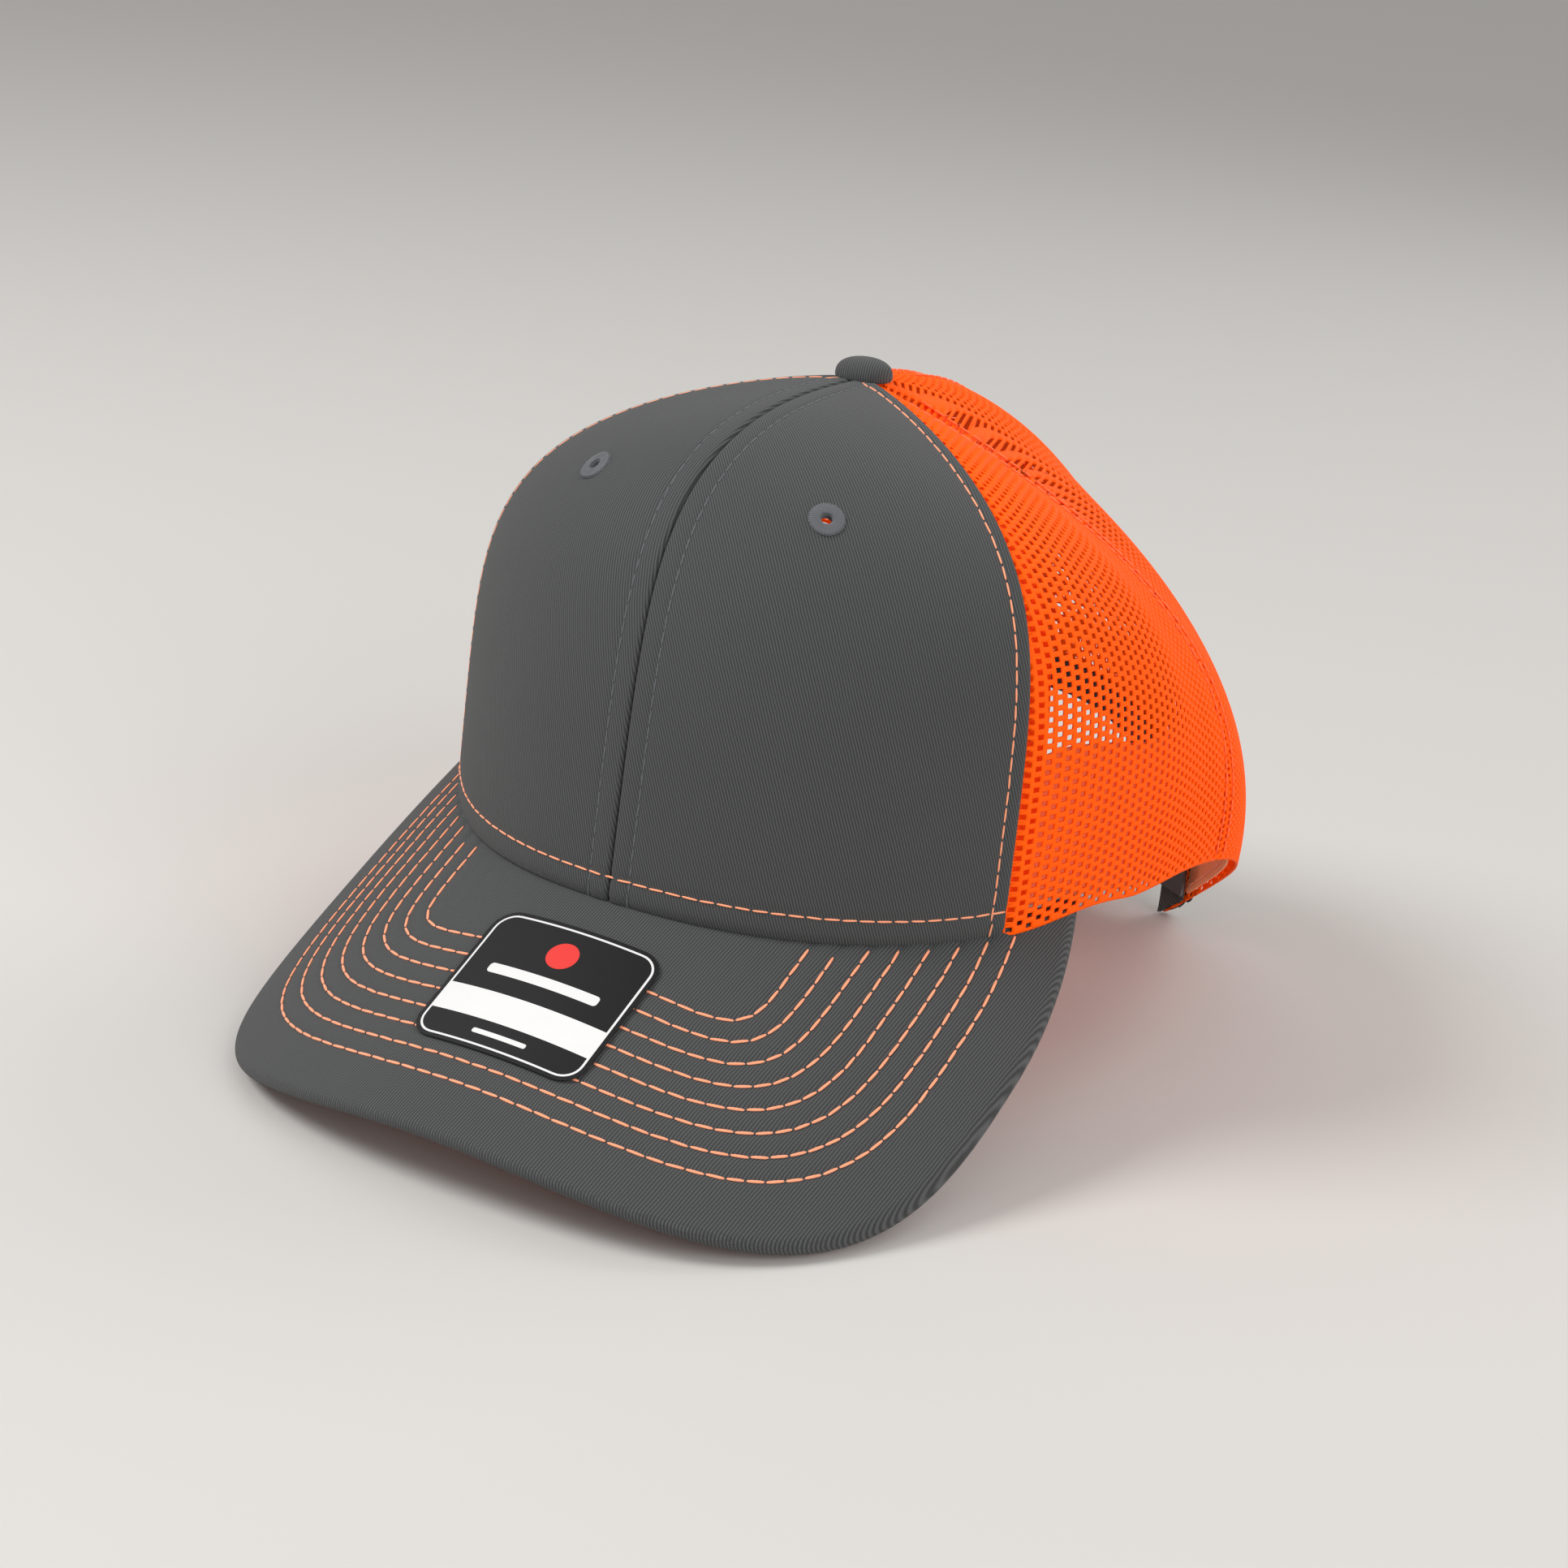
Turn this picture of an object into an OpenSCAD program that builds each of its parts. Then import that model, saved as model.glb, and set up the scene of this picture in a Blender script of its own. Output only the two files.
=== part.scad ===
// Trucker mesh cap: two stiff twill front panels, four mesh panels, a curved visor and a snap adjuster.
// The cap stands on a table on its visor's corners and its rear hem. Front is -Y, +X is the wearer's left.

/* [Crown] */
// Half the width of the head opening
half_w = 78; // [68:1:92]
// Depth of the head opening ahead of its widest line
front_depth = 93.5; // [80:0.5:112]
// Depth of the head opening behind its widest line
rear_depth = 104; // [90:1:124]
// Height of the crown's top above the table
crown_h = 136.7; // [116:0.1:160]
// How far the button sits ahead of the widest line
top_ahead = 11.4; // [0:0.2:20]
// Angle from the front centre to the seam between twill and mesh
front_seam = 52; // [44:1:60]
// Angle from the front centre to the seam between side mesh and rear mesh
side_seam = 112; // [100:1:124]
// Thickness of the twill of a front panel
twill_t = 0.8; // [0.5:0.1:1.1]
// Thickness of the stiff backing of a front panel
backing_t = 0.8; // [0.5:0.1:1.1]
// Thickness of the mesh
mesh_t = 0.8; // [0.5:0.1:1.1]
// Gap between pieces that are sewn edge to edge
seam_gap = 0.2; // [0.1:0.05:0.4]
// Height of the hem above the table, at the sides
side_hem = 44.6; // [36:0.1:53]

/* [Visor] */
// Length of the visor along its middle
visor_len = 61.4; // [52:0.2:74]
// Half the visor's width, measured over its curve
visor_half = 85.7; // [72:0.1:96]
// Radius that the visor is bent to
visor_bend = 115.6; // [98:0.2:140]
// Slope of the visor towards its front
visor_tilt = 28.2; // [20:0.2:34]
// Thickness of the visor's board
board_t = 2; // [1.4:0.1:2.6]
// Thickness of each visor cover
cover_t = 0.6; // [0.4:0.1:0.9]
// Number of stitching rows
stitch_rows = 8; // [4:1:8]
// Distance from the visor's edge to the first row
first_row = 12; // [8:0.5:14]
// Distance between rows
row_pitch = 4.85; // [3.5:0.05:5.2]

/* [Trim] */
// Width of the seam tapes
tape_w = 12; // [8:1:13]
// Height of the sweatband
band_h = 32; // [24:1:38]
// Radius of the button
button_r = 6; // [5:0.2:8]
// Height of the button
button_h = 3.8; // [3.4:0.2:6]
// Angle from the front centre to an eyelet
eyelet_angle = 21; // [16:1:28]
// Height of the eyelets above the table
eyelet_z = 121; // [100:1:123]
// Width of the visor sticker
sticker_w = 38; // [28:1:44]
// Length of the visor sticker
sticker_len = 34; // [24:1:38]

/* [Adjuster] */
// Half the width of the rear arch
arch_half = 43; // [36:1:50]
// Height of the rear arch above the table
arch_h = 50; // [42:1:60]
// Height of the adjuster straps
strap_h = 18; // [14:1:22]
// Thickness of the adjuster straps
strap_t = 1.4; // [1:0.1:1.8]
// Distance between pegs
peg_pitch = 9.5; // [8:0.5:11]
// Diameter of a peg
peg_d = 3.2; // [2.6:0.1:3.6]
// Diameter of a peg hole
hole_d = 4.2; // [3.8:0.1:4.8]

/* [Hidden] */

$fn = 48;

twill = [0.24, 0.25, 0.27];
mesh_orange = [1.0, 0.32, 0.04];
thread_orange = [1.0, 0.5, 0.3];
tape_orange = [0.9, 0.25, 0.05];
band_salmon = [0.93, 0.5, 0.36];

// Squareness of the head opening's outline: 2 is an ellipse
front_square = 2;
rear_square = 2.85;
// Values around the crown are given at the front, at 60 degrees, at the side and at the back.
// The crown's profile is rho = cos^plan_power, eta = sin^rise_power.
plan_power = [0.666, 1.555, 2.0, 0.84];
rise_power = [0.368, 0.396, 0.617, 1.303];
side_bulge = 4.6;
front_flat = 9.7;
// Behind the sides the hem falls from the turn to the foot, along a power curve, and rounds off on the table
hem_turn = 80;
hem_foot = 156;
hem_curve = 2.7;
hem_round = 1;
// Where the hem leaves the visor, and over how many degrees
visor_end = 56;
hem_blend = 24;

visor_square = 2.95;
visor_back = 14;
visor_rear_len = 96.5;
lay_gap = 0.1;
visor_t = board_t + 2 * cover_t + 2 * lay_gap;

// Layers of the crown, as depths under its outer surface
layer_gap = 0.2;
mesh_gap = 0.4;
backing_top = twill_t + layer_gap;
front_tape_top = backing_top + backing_t + layer_gap;
mesh_tape_top = mesh_t + mesh_gap;
tape_t = 0.6;
pad_top = front_tape_top + tape_t + 0.3;
pad_t = 1;
band_t = 0.8;
band_front = pad_top + pad_t + 0.3;
band_seam = front_tape_top + tape_t + 0.3;
band_mesh = mesh_tape_top + tape_t + 0.3;
visor_reach = pad_top - 0.1;

low_rows = 8;
high_rows = 10;
top_hole = 4;
tape_stop = 15;

function smooth(t) = let (c = min(max(t, 0), 1)) c * c * (3 - 2 * c);
function power(x, n) = x <= 0 ? 0 : pow(x, n);

// A smooth value around the crown from four values at 0, 60, 90 and 180 degrees
function around(v, a) =
    let (a0 = ((v[0] + v[3]) / 2 + v[2]) / 2,
         a2 = ((v[0] + v[3]) / 2 - v[2]) / 2,
         a1 = ((v[0] - v[3]) / 2 + v[1] - a0 + a2 / 2) / 1.5,
         a3 = (v[0] - v[3]) / 2 - a1)
    a0 + a1 * cos(a) + a2 * cos(2 * a) + a3 * cos(3 * a);

// Radius of the head opening at an angle, a given depth inside the outer surface
function plan_r(a, off = 0) =
    let (b = (cos(a) > 0 ? front_depth : rear_depth) - off,
         n = cos(a) > 0 ? front_square : rear_square)
    pow(power(abs(sin(a)) / (half_w - off), n) + power(abs(cos(a)) / b, n), -1 / n);

// The visor's outline over its curve: u across, v forwards, at a distance in from its edge
function corner_power(in) =
    let (m = (visor_half + visor_len + visor_back) / 2, c = pow(2, -1 / visor_square))
    ln(0.5) / ln((m * c - in * cos(45)) / (m - in));
function outline_uv(s, in) =
    let (h = visor_half - in, k = 2 / corner_power(in), c = cos(s), d = sin(s))
    d >= 0
        ? [sign(c) * h * power(abs(c), k), (visor_len + visor_back - in) * power(d, k) - visor_back]
        : [h * c, d * visor_rear_len - visor_back];
// The same, flat in the visor's own plane, with y backwards
function bend_x(u) = visor_bend * sin(u / visor_bend * 180 / PI);
function sag(x) = visor_bend - sqrt(max(visor_bend * visor_bend - x * x, 1));
function outline_flat(in, from = -60, to = 240, step = 5) =
    [for (s = [from:step:to]) let (p = outline_uv(s, in)) [bend_x(p[0]), -p[1]]];

// The visor's lowest corner stands on the table
function drop(s) =
    let (p = outline_uv(s, 0), x = bend_x(p[0]), r = visor_bend - visor_t)
    p[1] * sin(visor_tilt) + (visor_bend - sqrt(r * r - x * x)) * cos(visor_tilt);
visor_z = max([for (s = [0:5:90]) drop(s)]);
visor_top = function (x, y)
    visor_z + (y + front_depth) * tan(visor_tilt) - sag(x) / cos(visor_tilt);

// Height of the hem, which follows the visor's top at the front
function free_hem(a) =
    let (fall = max(abs(a) - hem_turn, 0) / (hem_foot - hem_turn), h = side_hem * (1 - pow(fall, hem_curve)))
    (h + sqrt(h * h + hem_round * hem_round)) / 2;
function hem_z(a, off = 0) =
    let (w = smooth((abs(a) - visor_end) / hem_blend), r = plan_r(a, off))
    (visor_top(r * sin(a), -r * cos(a)) + 0.3) * (1 - w) + free_hem(a) * w;

// A point of the crown: rho runs from 1 at the hem to 0 at the top, eta from 0 to 1
function crown_pt(a, rho, eta, off = 0) =
    let (r = (plan_r(a, off) + (side_bulge - front_flat * cos(a)) * eta) * rho, z = hem_z(a, off))
    [r * sin(a), -r * cos(a) - top_ahead * (1 - rho), z + (crown_h - off - z) * eta];
// Profile by a running value t: 0 at the hem, 1 at the shoulder, 2 at the edge of the top hole
function profile(a, t, stop = top_hole) =
    let (p = around(plan_power, a), q = around(rise_power, a),
         e1 = pow(sin(45), q), r1 = pow(cos(45), p), rho = r1 + (stop / plan_r(a) - r1) * (t - 1))
    t <= 1 ? [pow(1 - pow(e1 * t, 2 / q), p / 2), e1 * t] : [rho, pow(1 - pow(rho, 2 / p), q / 2)];
// Profile by height above the table
function profile_z(a, z, off = 0) =
    let (p = around(plan_power, a), q = around(rise_power, a), z0 = hem_z(a, off),
         e = max(z - z0, 0) / (crown_h - off - z0))
    [pow(1 - power(e, 2 / q), p / 2), e];
function wall_pt(a, z, off) = let (f = profile_z(a, z, off)) crown_pt(a, f[0], f[1], off);
function row_t(i) = i <= low_rows ? i / low_rows : 1 + (i - low_rows) / high_rows;
function degrees_of(d, r) = d / r * 180 / PI;

// Closed solid from rings of equal, even length; each ring runs out and back, or round a tube
module skin(rings) {
    k = len(rings[0]);
    m = len(rings) - 1;
    sides = [for (i = [0:m - 1], j = [0:k - 1])
        let (a = i * k + j, b = i * k + (j + 1) % k, c = b + k, d = a + k)
        each [[a, d, c], [a, c, b]]];
    caps = [for (j = [0:k / 2 - 2])
        let (a = j, b = j + 1, c = k - 2 - j, d = k - 1 - j, n = m * k)
        each [[a, b, c], [a, c, d], [n + a, n + c, n + b], [n + a, n + d, n + c]]];
    polyhedron(points = [for (r = rings) each r], faces = concat(sides, caps), convexity = 8);
}
// Ring that runs along a layer's outer face and back along its inner face
function there_and_back(outer, inner) =
    concat(outer, [for (j = [len(inner) - 1:-1:0]) inner[j]]);

// A panel between two seams; columns are [angle, start value of t]
module panel(columns, top, thick) {
    n = len(columns) - 1;
    function pt(j, i, off) =
        let (c = columns[j], t0 = row_t(i), t = t0 >= 1 ? t0 : c[1] + (1 - c[1]) * t0,
             r = plan_r(c[0]) * profile(c[0], t)[0],
             a = c[0] + degrees_of(seam_gap / 2, r) * (1 - 2 * j / n), f = profile(a, t))
        crown_pt(a, f[0], f[1], off);
    skin([for (i = [0:low_rows + high_rows])
        there_and_back([for (j = [0:n]) pt(j, i, top)], [for (j = [0:n]) pt(j, i, top + thick)])]);
}
function even_columns(from, to, n) = [for (j = [0:n]) [from + (to - from) * j / n, 0]];

// The rear arch, by a running angle: 0 at its side, 90 at its top
arch_square = 2.6;
arch_steps = 9;
arch_angle = atan2(arch_half, rear_depth * pow(1 - pow(arch_half / half_w, rear_square), 1 / rear_square));
function arch_a(s, out = 0) =
    180 - (arch_angle + degrees_of(out, rear_depth)) * power(cos(s), 2 / arch_square);
function arch_z(s, out = 0) = (arch_h + out) * power(sin(s), 2 / arch_square);
function arch_t(s) =
    let (a = min(arch_a(s), 179.9), z0 = hem_z(a), q = around(rise_power, a))
    max(arch_z(s) - z0, 0) / (crown_h - z0) / pow(sin(45), q);
rear_columns = concat(
    [for (j = [0:4]) [side_seam + (arch_a(0) - side_seam) * j / 5, 0]],
    [for (k = [0:arch_steps]) let (s = k / arch_steps * 90) [arch_a(s), arch_t(s)]]);

// A strip that follows a seam on a layer, down from its stop near the top
module seam_strip(a0, width, top, thick, start = 0, stop = tape_stop) {
    function pt(side, i, off) =
        let (t0 = row_t(i), t = t0 >= 1 ? t0 : start + (1 - start) * t0,
             r = plan_r(a0) * profile(a0, t, stop)[0],
             a = a0 + degrees_of(width / 2, r) * side, f = profile(a > 180 ? 360 - a : a, t, stop))
        crown_pt(a > 180 ? a - 360 : a, f[0], f[1], off);
    skin([for (i = [0:low_rows + high_rows]) there_and_back(
        [for (s = [-1, -1/3, 1/3, 1]) pt(s, i, top)], [for (s = [-1, -1/3, 1/3, 1]) pt(s, i, top + thick)])]);
}

// A thread laid along a list of points
module thread_tube(path, r = 0.3) {
    n = len(path) - 1;
    skin([for (i = [0:n])
        let (a = path[max(i - 1, 0)], b = path[min(i + 1, n)], t = (b - a) / norm(b - a),
             s0 = cross(t, [0.13, 0.21, 0.97]), s = s0 / norm(s0), u = cross(t, s))
        [for (k = [0:5]) path[i] + r * (cos(60 * k) * s + sin(60 * k) * u)]]);
}
stitch_lift = -0.42;
stitch_start = 0.3 / 94;
// The rows end this far from the top, before they meet each other
stitch_stop = 10;
module meridian_stitch(a0, aside) {
    thread_tube([for (i = [0:low_rows + high_rows])
        let (t = max(row_t(i), stitch_start), r = plan_r(a0) * profile(a0, t, stitch_stop)[0],
             a = a0 + degrees_of(aside, r), f = profile(a, t, stitch_stop))
        crown_pt(a, f[0], f[1], stitch_lift)]);
}

module front_panel() {
    eyelet_hole(2.4) panel(even_columns(0, front_seam, 8), 0, twill_t);
}
module front_backing() {
    eyelet_hole(2.4) panel(even_columns(0, front_seam, 8), backing_top, backing_t);
}
module front_panel_left() color(twill) front_panel();
module front_panel_right() color(twill) mirror([1, 0, 0]) front_panel();
module front_backing_left() color("dimgray") front_backing();
module front_backing_right() color("dimgray") mirror([1, 0, 0]) front_backing();

module side_mesh() panel(even_columns(front_seam, side_seam, 8), 0, mesh_t);
module side_mesh_left() color(mesh_orange) side_mesh();
module side_mesh_right() color(mesh_orange) mirror([1, 0, 0]) side_mesh();
module rear_mesh() panel(rear_columns, 0, mesh_t);
module rear_mesh_left() color(mesh_orange) rear_mesh();
module rear_mesh_right() color(mesh_orange) mirror([1, 0, 0]) rear_mesh();

module centre_seam_tape() color(tape_orange)
    seam_strip(0, tape_w, front_tape_top, tape_t);
module front_seam_tape() seam_strip(front_seam, tape_w, front_tape_top, tape_t);
module front_seam_tape_left() color(tape_orange) front_seam_tape();
module front_seam_tape_right() color(tape_orange) mirror([1, 0, 0]) front_seam_tape();
module side_seam_tape() seam_strip(side_seam, tape_w, mesh_tape_top, tape_t);
module side_seam_tape_left() color(tape_orange) side_seam_tape();
module side_seam_tape_right() color(tape_orange) mirror([1, 0, 0]) side_seam_tape();
rear_tape_start = (arch_h + 10 - hem_z(179.9)) / (crown_h - hem_z(179.9)) / pow(sin(45), rise_power[3]);
module rear_seam_tape() color(tape_orange)
    seam_strip(180, tape_w, mesh_tape_top, tape_t, rear_tape_start);

centre_aside = 4.5;
side_aside = 3.5;
base_rise = 5.5;
module centre_topstitch() color("gray") {
    meridian_stitch(0, centre_aside);
    meridian_stitch(0, -centre_aside);
}
module side_topstitch() color(thread_orange) {
    meridian_stitch(front_seam, -side_aside);
    mirror([1, 0, 0]) meridian_stitch(front_seam, -side_aside);
}
module base_topstitch() color(thread_orange)
    thread_tube([for (a = [-front_seam + 0.5:2:front_seam - 0.5])
        let (f = profile_z(a, hem_z(a) + base_rise)) crown_pt(a, f[0], f[1], stitch_lift - 0.7)]);

// Eyelets: an embroidered ring through the panel and its backing
eyelet_at = wall_pt(eyelet_angle, eyelet_z, 0);
eyelet_out = let (e = 0.5, p = eyelet_at, q = wall_pt(eyelet_angle + e, eyelet_z, 0),
    r = wall_pt(eyelet_angle, eyelet_z + e, 0), n = cross(q - p, r - p)) n / norm(n);
module at_eyelet() translate(eyelet_at)
    rotate([0, acos(eyelet_out[2]), atan2(eyelet_out[1], eyelet_out[0])]) children();
module eyelet_hole(r) difference() {
    children();
    at_eyelet() cylinder(r = r, h = 16, center = true);
}
module eyelet() at_eyelet() rotate_extrude()
    polygon([[1.1, -2.2], [2.1, -2.2], [2.1, 0.25], [4.4, 0.25], [4.1, 0.8], [1.5, 0.95], [1.1, 0.6]]);
module eyelet_left() color("dimgray") eyelet();
module eyelet_right() color("dimgray") mirror([1, 0, 0]) eyelet();

// The button's cover and shell, over the top hole
washer_drop = 6;
pin_r = 1.2;
shell_t = 0.8;
button_cover_t = 0.7;
module at_top() translate([0, -top_ahead, crown_h]) children();
function dome(r, h, z = 0, steps = 12) = [for (i = [0:steps]) let (a = i * 90 / steps) [r * cos(a), z + h * sin(a)]];
module dome_shell(r, h, t) rotate_extrude() polygon(concat(
    dome(r, h), [for (p = [for (i = [12:-1:0]) dome(r - t, h - t)[i]]) [max(p[0], 0), p[1]]]));
module button_cover() color(twill) at_top() translate([0, 0, 0.3]) dome_shell(button_r, button_h, button_cover_t);
module button_shell() color("silver") at_top() translate([0, 0, 0.4]) {
    r = button_r - button_cover_t - 0.1;
    h = button_h - button_cover_t - 0.2;
    dome_shell(r, h, shell_t);
    translate([0, 0, -washer_drop - 2.2]) cylinder(r = pin_r, h = washer_drop + 2.2 + h - shell_t / 2);
}
module button_washer() color("silver") at_top() translate([0, 0, -washer_drop - 1.2]) difference() {
    cylinder(r = button_r - 1, h = 0.8);
    translate([0, 0, -1]) cylinder(r = pin_r + 0.1, h = 3);
}

// Visor pieces are cut from shells of one bent sheet
module at_visor() translate([0, -front_depth, visor_z]) rotate([visor_tilt, 0, 0]) children();
module bent_layer(depth, thick) at_visor() difference() {
    translate([0, 110, -visor_bend]) rotate([90, 0, 0]) cylinder(r = visor_bend - depth, h = 260, $fn = 96);
    translate([0, 120, -visor_bend]) rotate([90, 0, 0])
        cylinder(r = visor_bend - depth - thick, h = 280, $fn = 96);
}
module outline_prism(in) at_visor() translate([0, 0, -90]) linear_extrude(150) polygon(outline_flat(in));
module crown_prism(off) translate([0, 0, -60]) linear_extrude(260)
    polygon([for (a = [0:5:355]) let (r = plan_r(a, off)) [r * sin(a), -r * cos(a)]]);
module behind_visor() translate([-150, -front_depth * 0.3, -60]) cube([300, 300, 260]);
module visor_layer(depth, thick, in) difference() {
    intersection() {
        bent_layer(depth, thick);
        outline_prism(in);
    }
    crown_prism(visor_reach);
    behind_visor();
}
module visor_board() color("white") visor_layer(cover_t + lay_gap, board_t, cover_t + lay_gap);
module visor_under_cover() color(twill) visor_layer(cover_t + board_t + 2 * lay_gap, cover_t, 0);
module visor_top_cover() color(twill) difference() {
    visor_layer(0, cover_t + lay_gap + board_t, 0);
    intersection() {
        bent_layer(cover_t, board_t + 4);
        outline_prism(cover_t);
    }
}
stitch_h = 0.4;
stitch_w = 0.6;
module visor_stitching() color(thread_orange)
    for (k = [0:stitch_rows - 1]) difference() {
        intersection() {
            bent_layer(-0.1 - stitch_h, stitch_h);
            outline_prism(first_row + k * row_pitch);
        }
        outline_prism(first_row + k * row_pitch + stitch_w);
        crown_prism(-0.5);
        behind_visor();
    }
sticker_t = 0.2;
sticker_mid = 24.5;
sticker_corner = 5;
module visor_sticker() color("black") intersection() {
    bent_layer(-0.2 - stitch_h - sticker_t, sticker_t);
    at_visor() translate([0, -sticker_mid, -20]) linear_extrude(40) union() {
        square([sticker_w - 2 * sticker_corner, sticker_len], center = true);
        square([sticker_w, sticker_len - 2 * sticker_corner], center = true);
        for (x = [-1, 1], y = [-1, 1])
            translate([x * (sticker_w / 2 - sticker_corner), y * (sticker_len / 2 - sticker_corner)])
                circle(sticker_corner);
    }
}

// The sweatband lies behind the pad at the front and comes close to the mesh behind the front seams
function band_off(a) = band_mesh + (band_seam - band_mesh) * (1 - smooth((abs(a) - front_seam - 8) / 8))
    + (band_front - band_seam) * (1 - smooth((abs(a) - front_seam + 8) / 5));
module band_slab(from, to, n, low, high, thick, rows, fixed = -1) {
    function pt(j, i, extra) = let (a = from + (to - from) * j / n, off = fixed < 0 ? band_off(a) : fixed)
        wall_pt(a, hem_z(a, off) + low + (high - low) * i / rows, off + extra);
    skin([for (i = [0:rows]) there_and_back(
        [for (j = [0:n]) pt(j, i, 0)], [for (j = [0:n]) pt(j, i, thick)])]);
}
band_end = 180 - arch_angle - 6;
module sweatband() color(band_salmon) band_slab(-band_end, band_end, 46, 0.8, band_h, band_t, 4);
pad_end = front_seam - 11;
module sweatband_pad() color("white") band_slab(-pad_end, pad_end, 16, 2, band_h - 3, pad_t, 3, pad_top);

// The binding folds round the arch's edge
bind_w = 8;
bind_t = 0.6;
module arch_binding() {
    clear = 0.55;
    o = -clear - bind_t;
    i = mesh_t + clear + bind_t;
    section = [[bind_w, o], [-clear - bind_t, o], [-clear - bind_t, i], [bind_w, i],
        [bind_w, i - bind_t], [-clear, i - bind_t], [-clear, o + bind_t], [bind_w, o + bind_t]];
    half = [for (k = [0:arch_steps]) k / arch_steps * 90];
    function pt(s, c) = let (a = min(arch_a(s, c[0]), 179.99))
        wall_pt(a, max(arch_z(s, c[0]), hem_z(a, c[1]) + 0.2), c[1]);
    left = [for (s = half) [for (c = section) pt(s, c)]];
    right = [for (k = [arch_steps - 1:-1:0]) [for (p = left[k]) [-p[0], p[1], p[2]]]];
    color(twill) skin([for (r = concat(left, right)) [for (j = [7:-1:0]) r[j]]]);
}

// Adjuster straps: arcs that hinge at the arch's sides
root_angle = 180 - arch_angle - 7;
root_in = 4.6;
root_pt = crown_pt(root_angle, 1, 0, root_in);
strap_back = rear_depth - 2;
strap_dip = strap_back - root_pt[1];
strap_r = (root_pt[0] * root_pt[0] + strap_dip * strap_dip) / (2 * strap_dip);
strap_y = strap_back - strap_r;
strap_z = hem_z(root_angle);
strap_gap = 0.4;
hinge_x = arch_half * pow(1 - pow((strap_z + strap_h) / arch_h, arch_square), 1 / arch_square) - 4;
hinge_a = asin(hinge_x / strap_r);
peg_step = degrees_of(peg_pitch, strap_r);
tip_a = 2.5 * peg_step;
peg_strap_r = strap_r - strap_t - strap_gap;
function hinge_at(r) = [(r - strap_t / 2) * sin(hinge_a), strap_y + (r - strap_t / 2) * cos(hinge_a)];

// A band of the strap's circle between two sideways places, with a round or a square far end
module strap_arc(r, x0, x1, round_end) intersection() {
    translate([0, strap_y, strap_z]) difference() {
        cylinder(r = r, h = strap_h, $fn = 96);
        translate([0, 0, -1]) cylinder(r = r - strap_t, h = strap_h + 2, $fn = 96);
    }
    translate([0, rear_depth + 40, strap_z]) rotate([90, 0, 0]) linear_extrude(100) if (round_end) union() {
        translate([x0 + strap_h / 2, 0]) square([x1 - x0 - strap_h / 2, strap_h]);
        translate([x0 + strap_h / 2, strap_h / 2]) circle(strap_h / 2);
    } else translate([x0, 0]) square([x1 - x0, strap_h]);
}
module hinge_roll(r) let (h = hinge_at(r)) translate([h[0], h[1], strap_z])
    cylinder(r = strap_t / 2, h = strap_h);
module radial(a, r, h, d) translate([0, strap_y, strap_z + strap_h / 2]) rotate([0, 0, -a])
    translate([0, r, 0]) rotate([-90, 0, 0]) cylinder(d = d, h = h);
root_clear = strap_t / 2 + 0.4;

module hole_strap() color(twill) difference() {
    union() {
        strap_arc(strap_r, -strap_r * sin(tip_a) - 2, hinge_at(strap_r)[0], true);
        hinge_roll(strap_r);
    }
    for (k = [-2:3]) radial(k * peg_step, strap_r - strap_t - 2, strap_t + 4, hole_d);
}
module hole_strap_root() color(twill)
    strap_arc(strap_r, hinge_at(strap_r)[0] + root_clear, root_pt[0], false);
module peg_strap() color(twill) mirror([1, 0, 0]) {
    strap_arc(peg_strap_r, -peg_strap_r * sin(tip_a) - 2, hinge_at(peg_strap_r)[0], true);
    hinge_roll(peg_strap_r);
    for (k = [-2:3]) radial(k * peg_step, peg_strap_r - strap_t / 2, strap_t / 2 + strap_gap + 1.1, peg_d);
}
module peg_strap_root() color(twill) mirror([1, 0, 0])
    strap_arc(peg_strap_r, hinge_at(peg_strap_r)[0] + root_clear, root_pt[0] - 1, false);

front_panel_left();
front_panel_right();
front_backing_left();
front_backing_right();
side_mesh_left();
side_mesh_right();
rear_mesh_left();
rear_mesh_right();
centre_seam_tape();
front_seam_tape_left();
front_seam_tape_right();
side_seam_tape_left();
side_seam_tape_right();
rear_seam_tape();
centre_topstitch();
side_topstitch();
base_topstitch();
eyelet_left();
eyelet_right();
button_cover();
button_shell();
button_washer();
visor_board();
visor_top_cover();
visor_under_cover();
visor_stitching();
visor_sticker();
sweatband();
sweatband_pad();
arch_binding();
hole_strap();
hole_strap_root();
peg_strap();
peg_strap_root();
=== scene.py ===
# %% [markdown]
# # A trucker cap
# The cap has two stiff twill front panels, four panels of knitted mesh, a curved visor with eight
# rows of contrast stitching, and a snap adjuster at the back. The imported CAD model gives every
# size and place. Here each sewn piece is made again as cloth, thread or tape around that frame.

# %% Load the frame
import math
import random

import bmesh
import bpy
import numpy as np
from mathutils import Matrix, Vector


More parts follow.
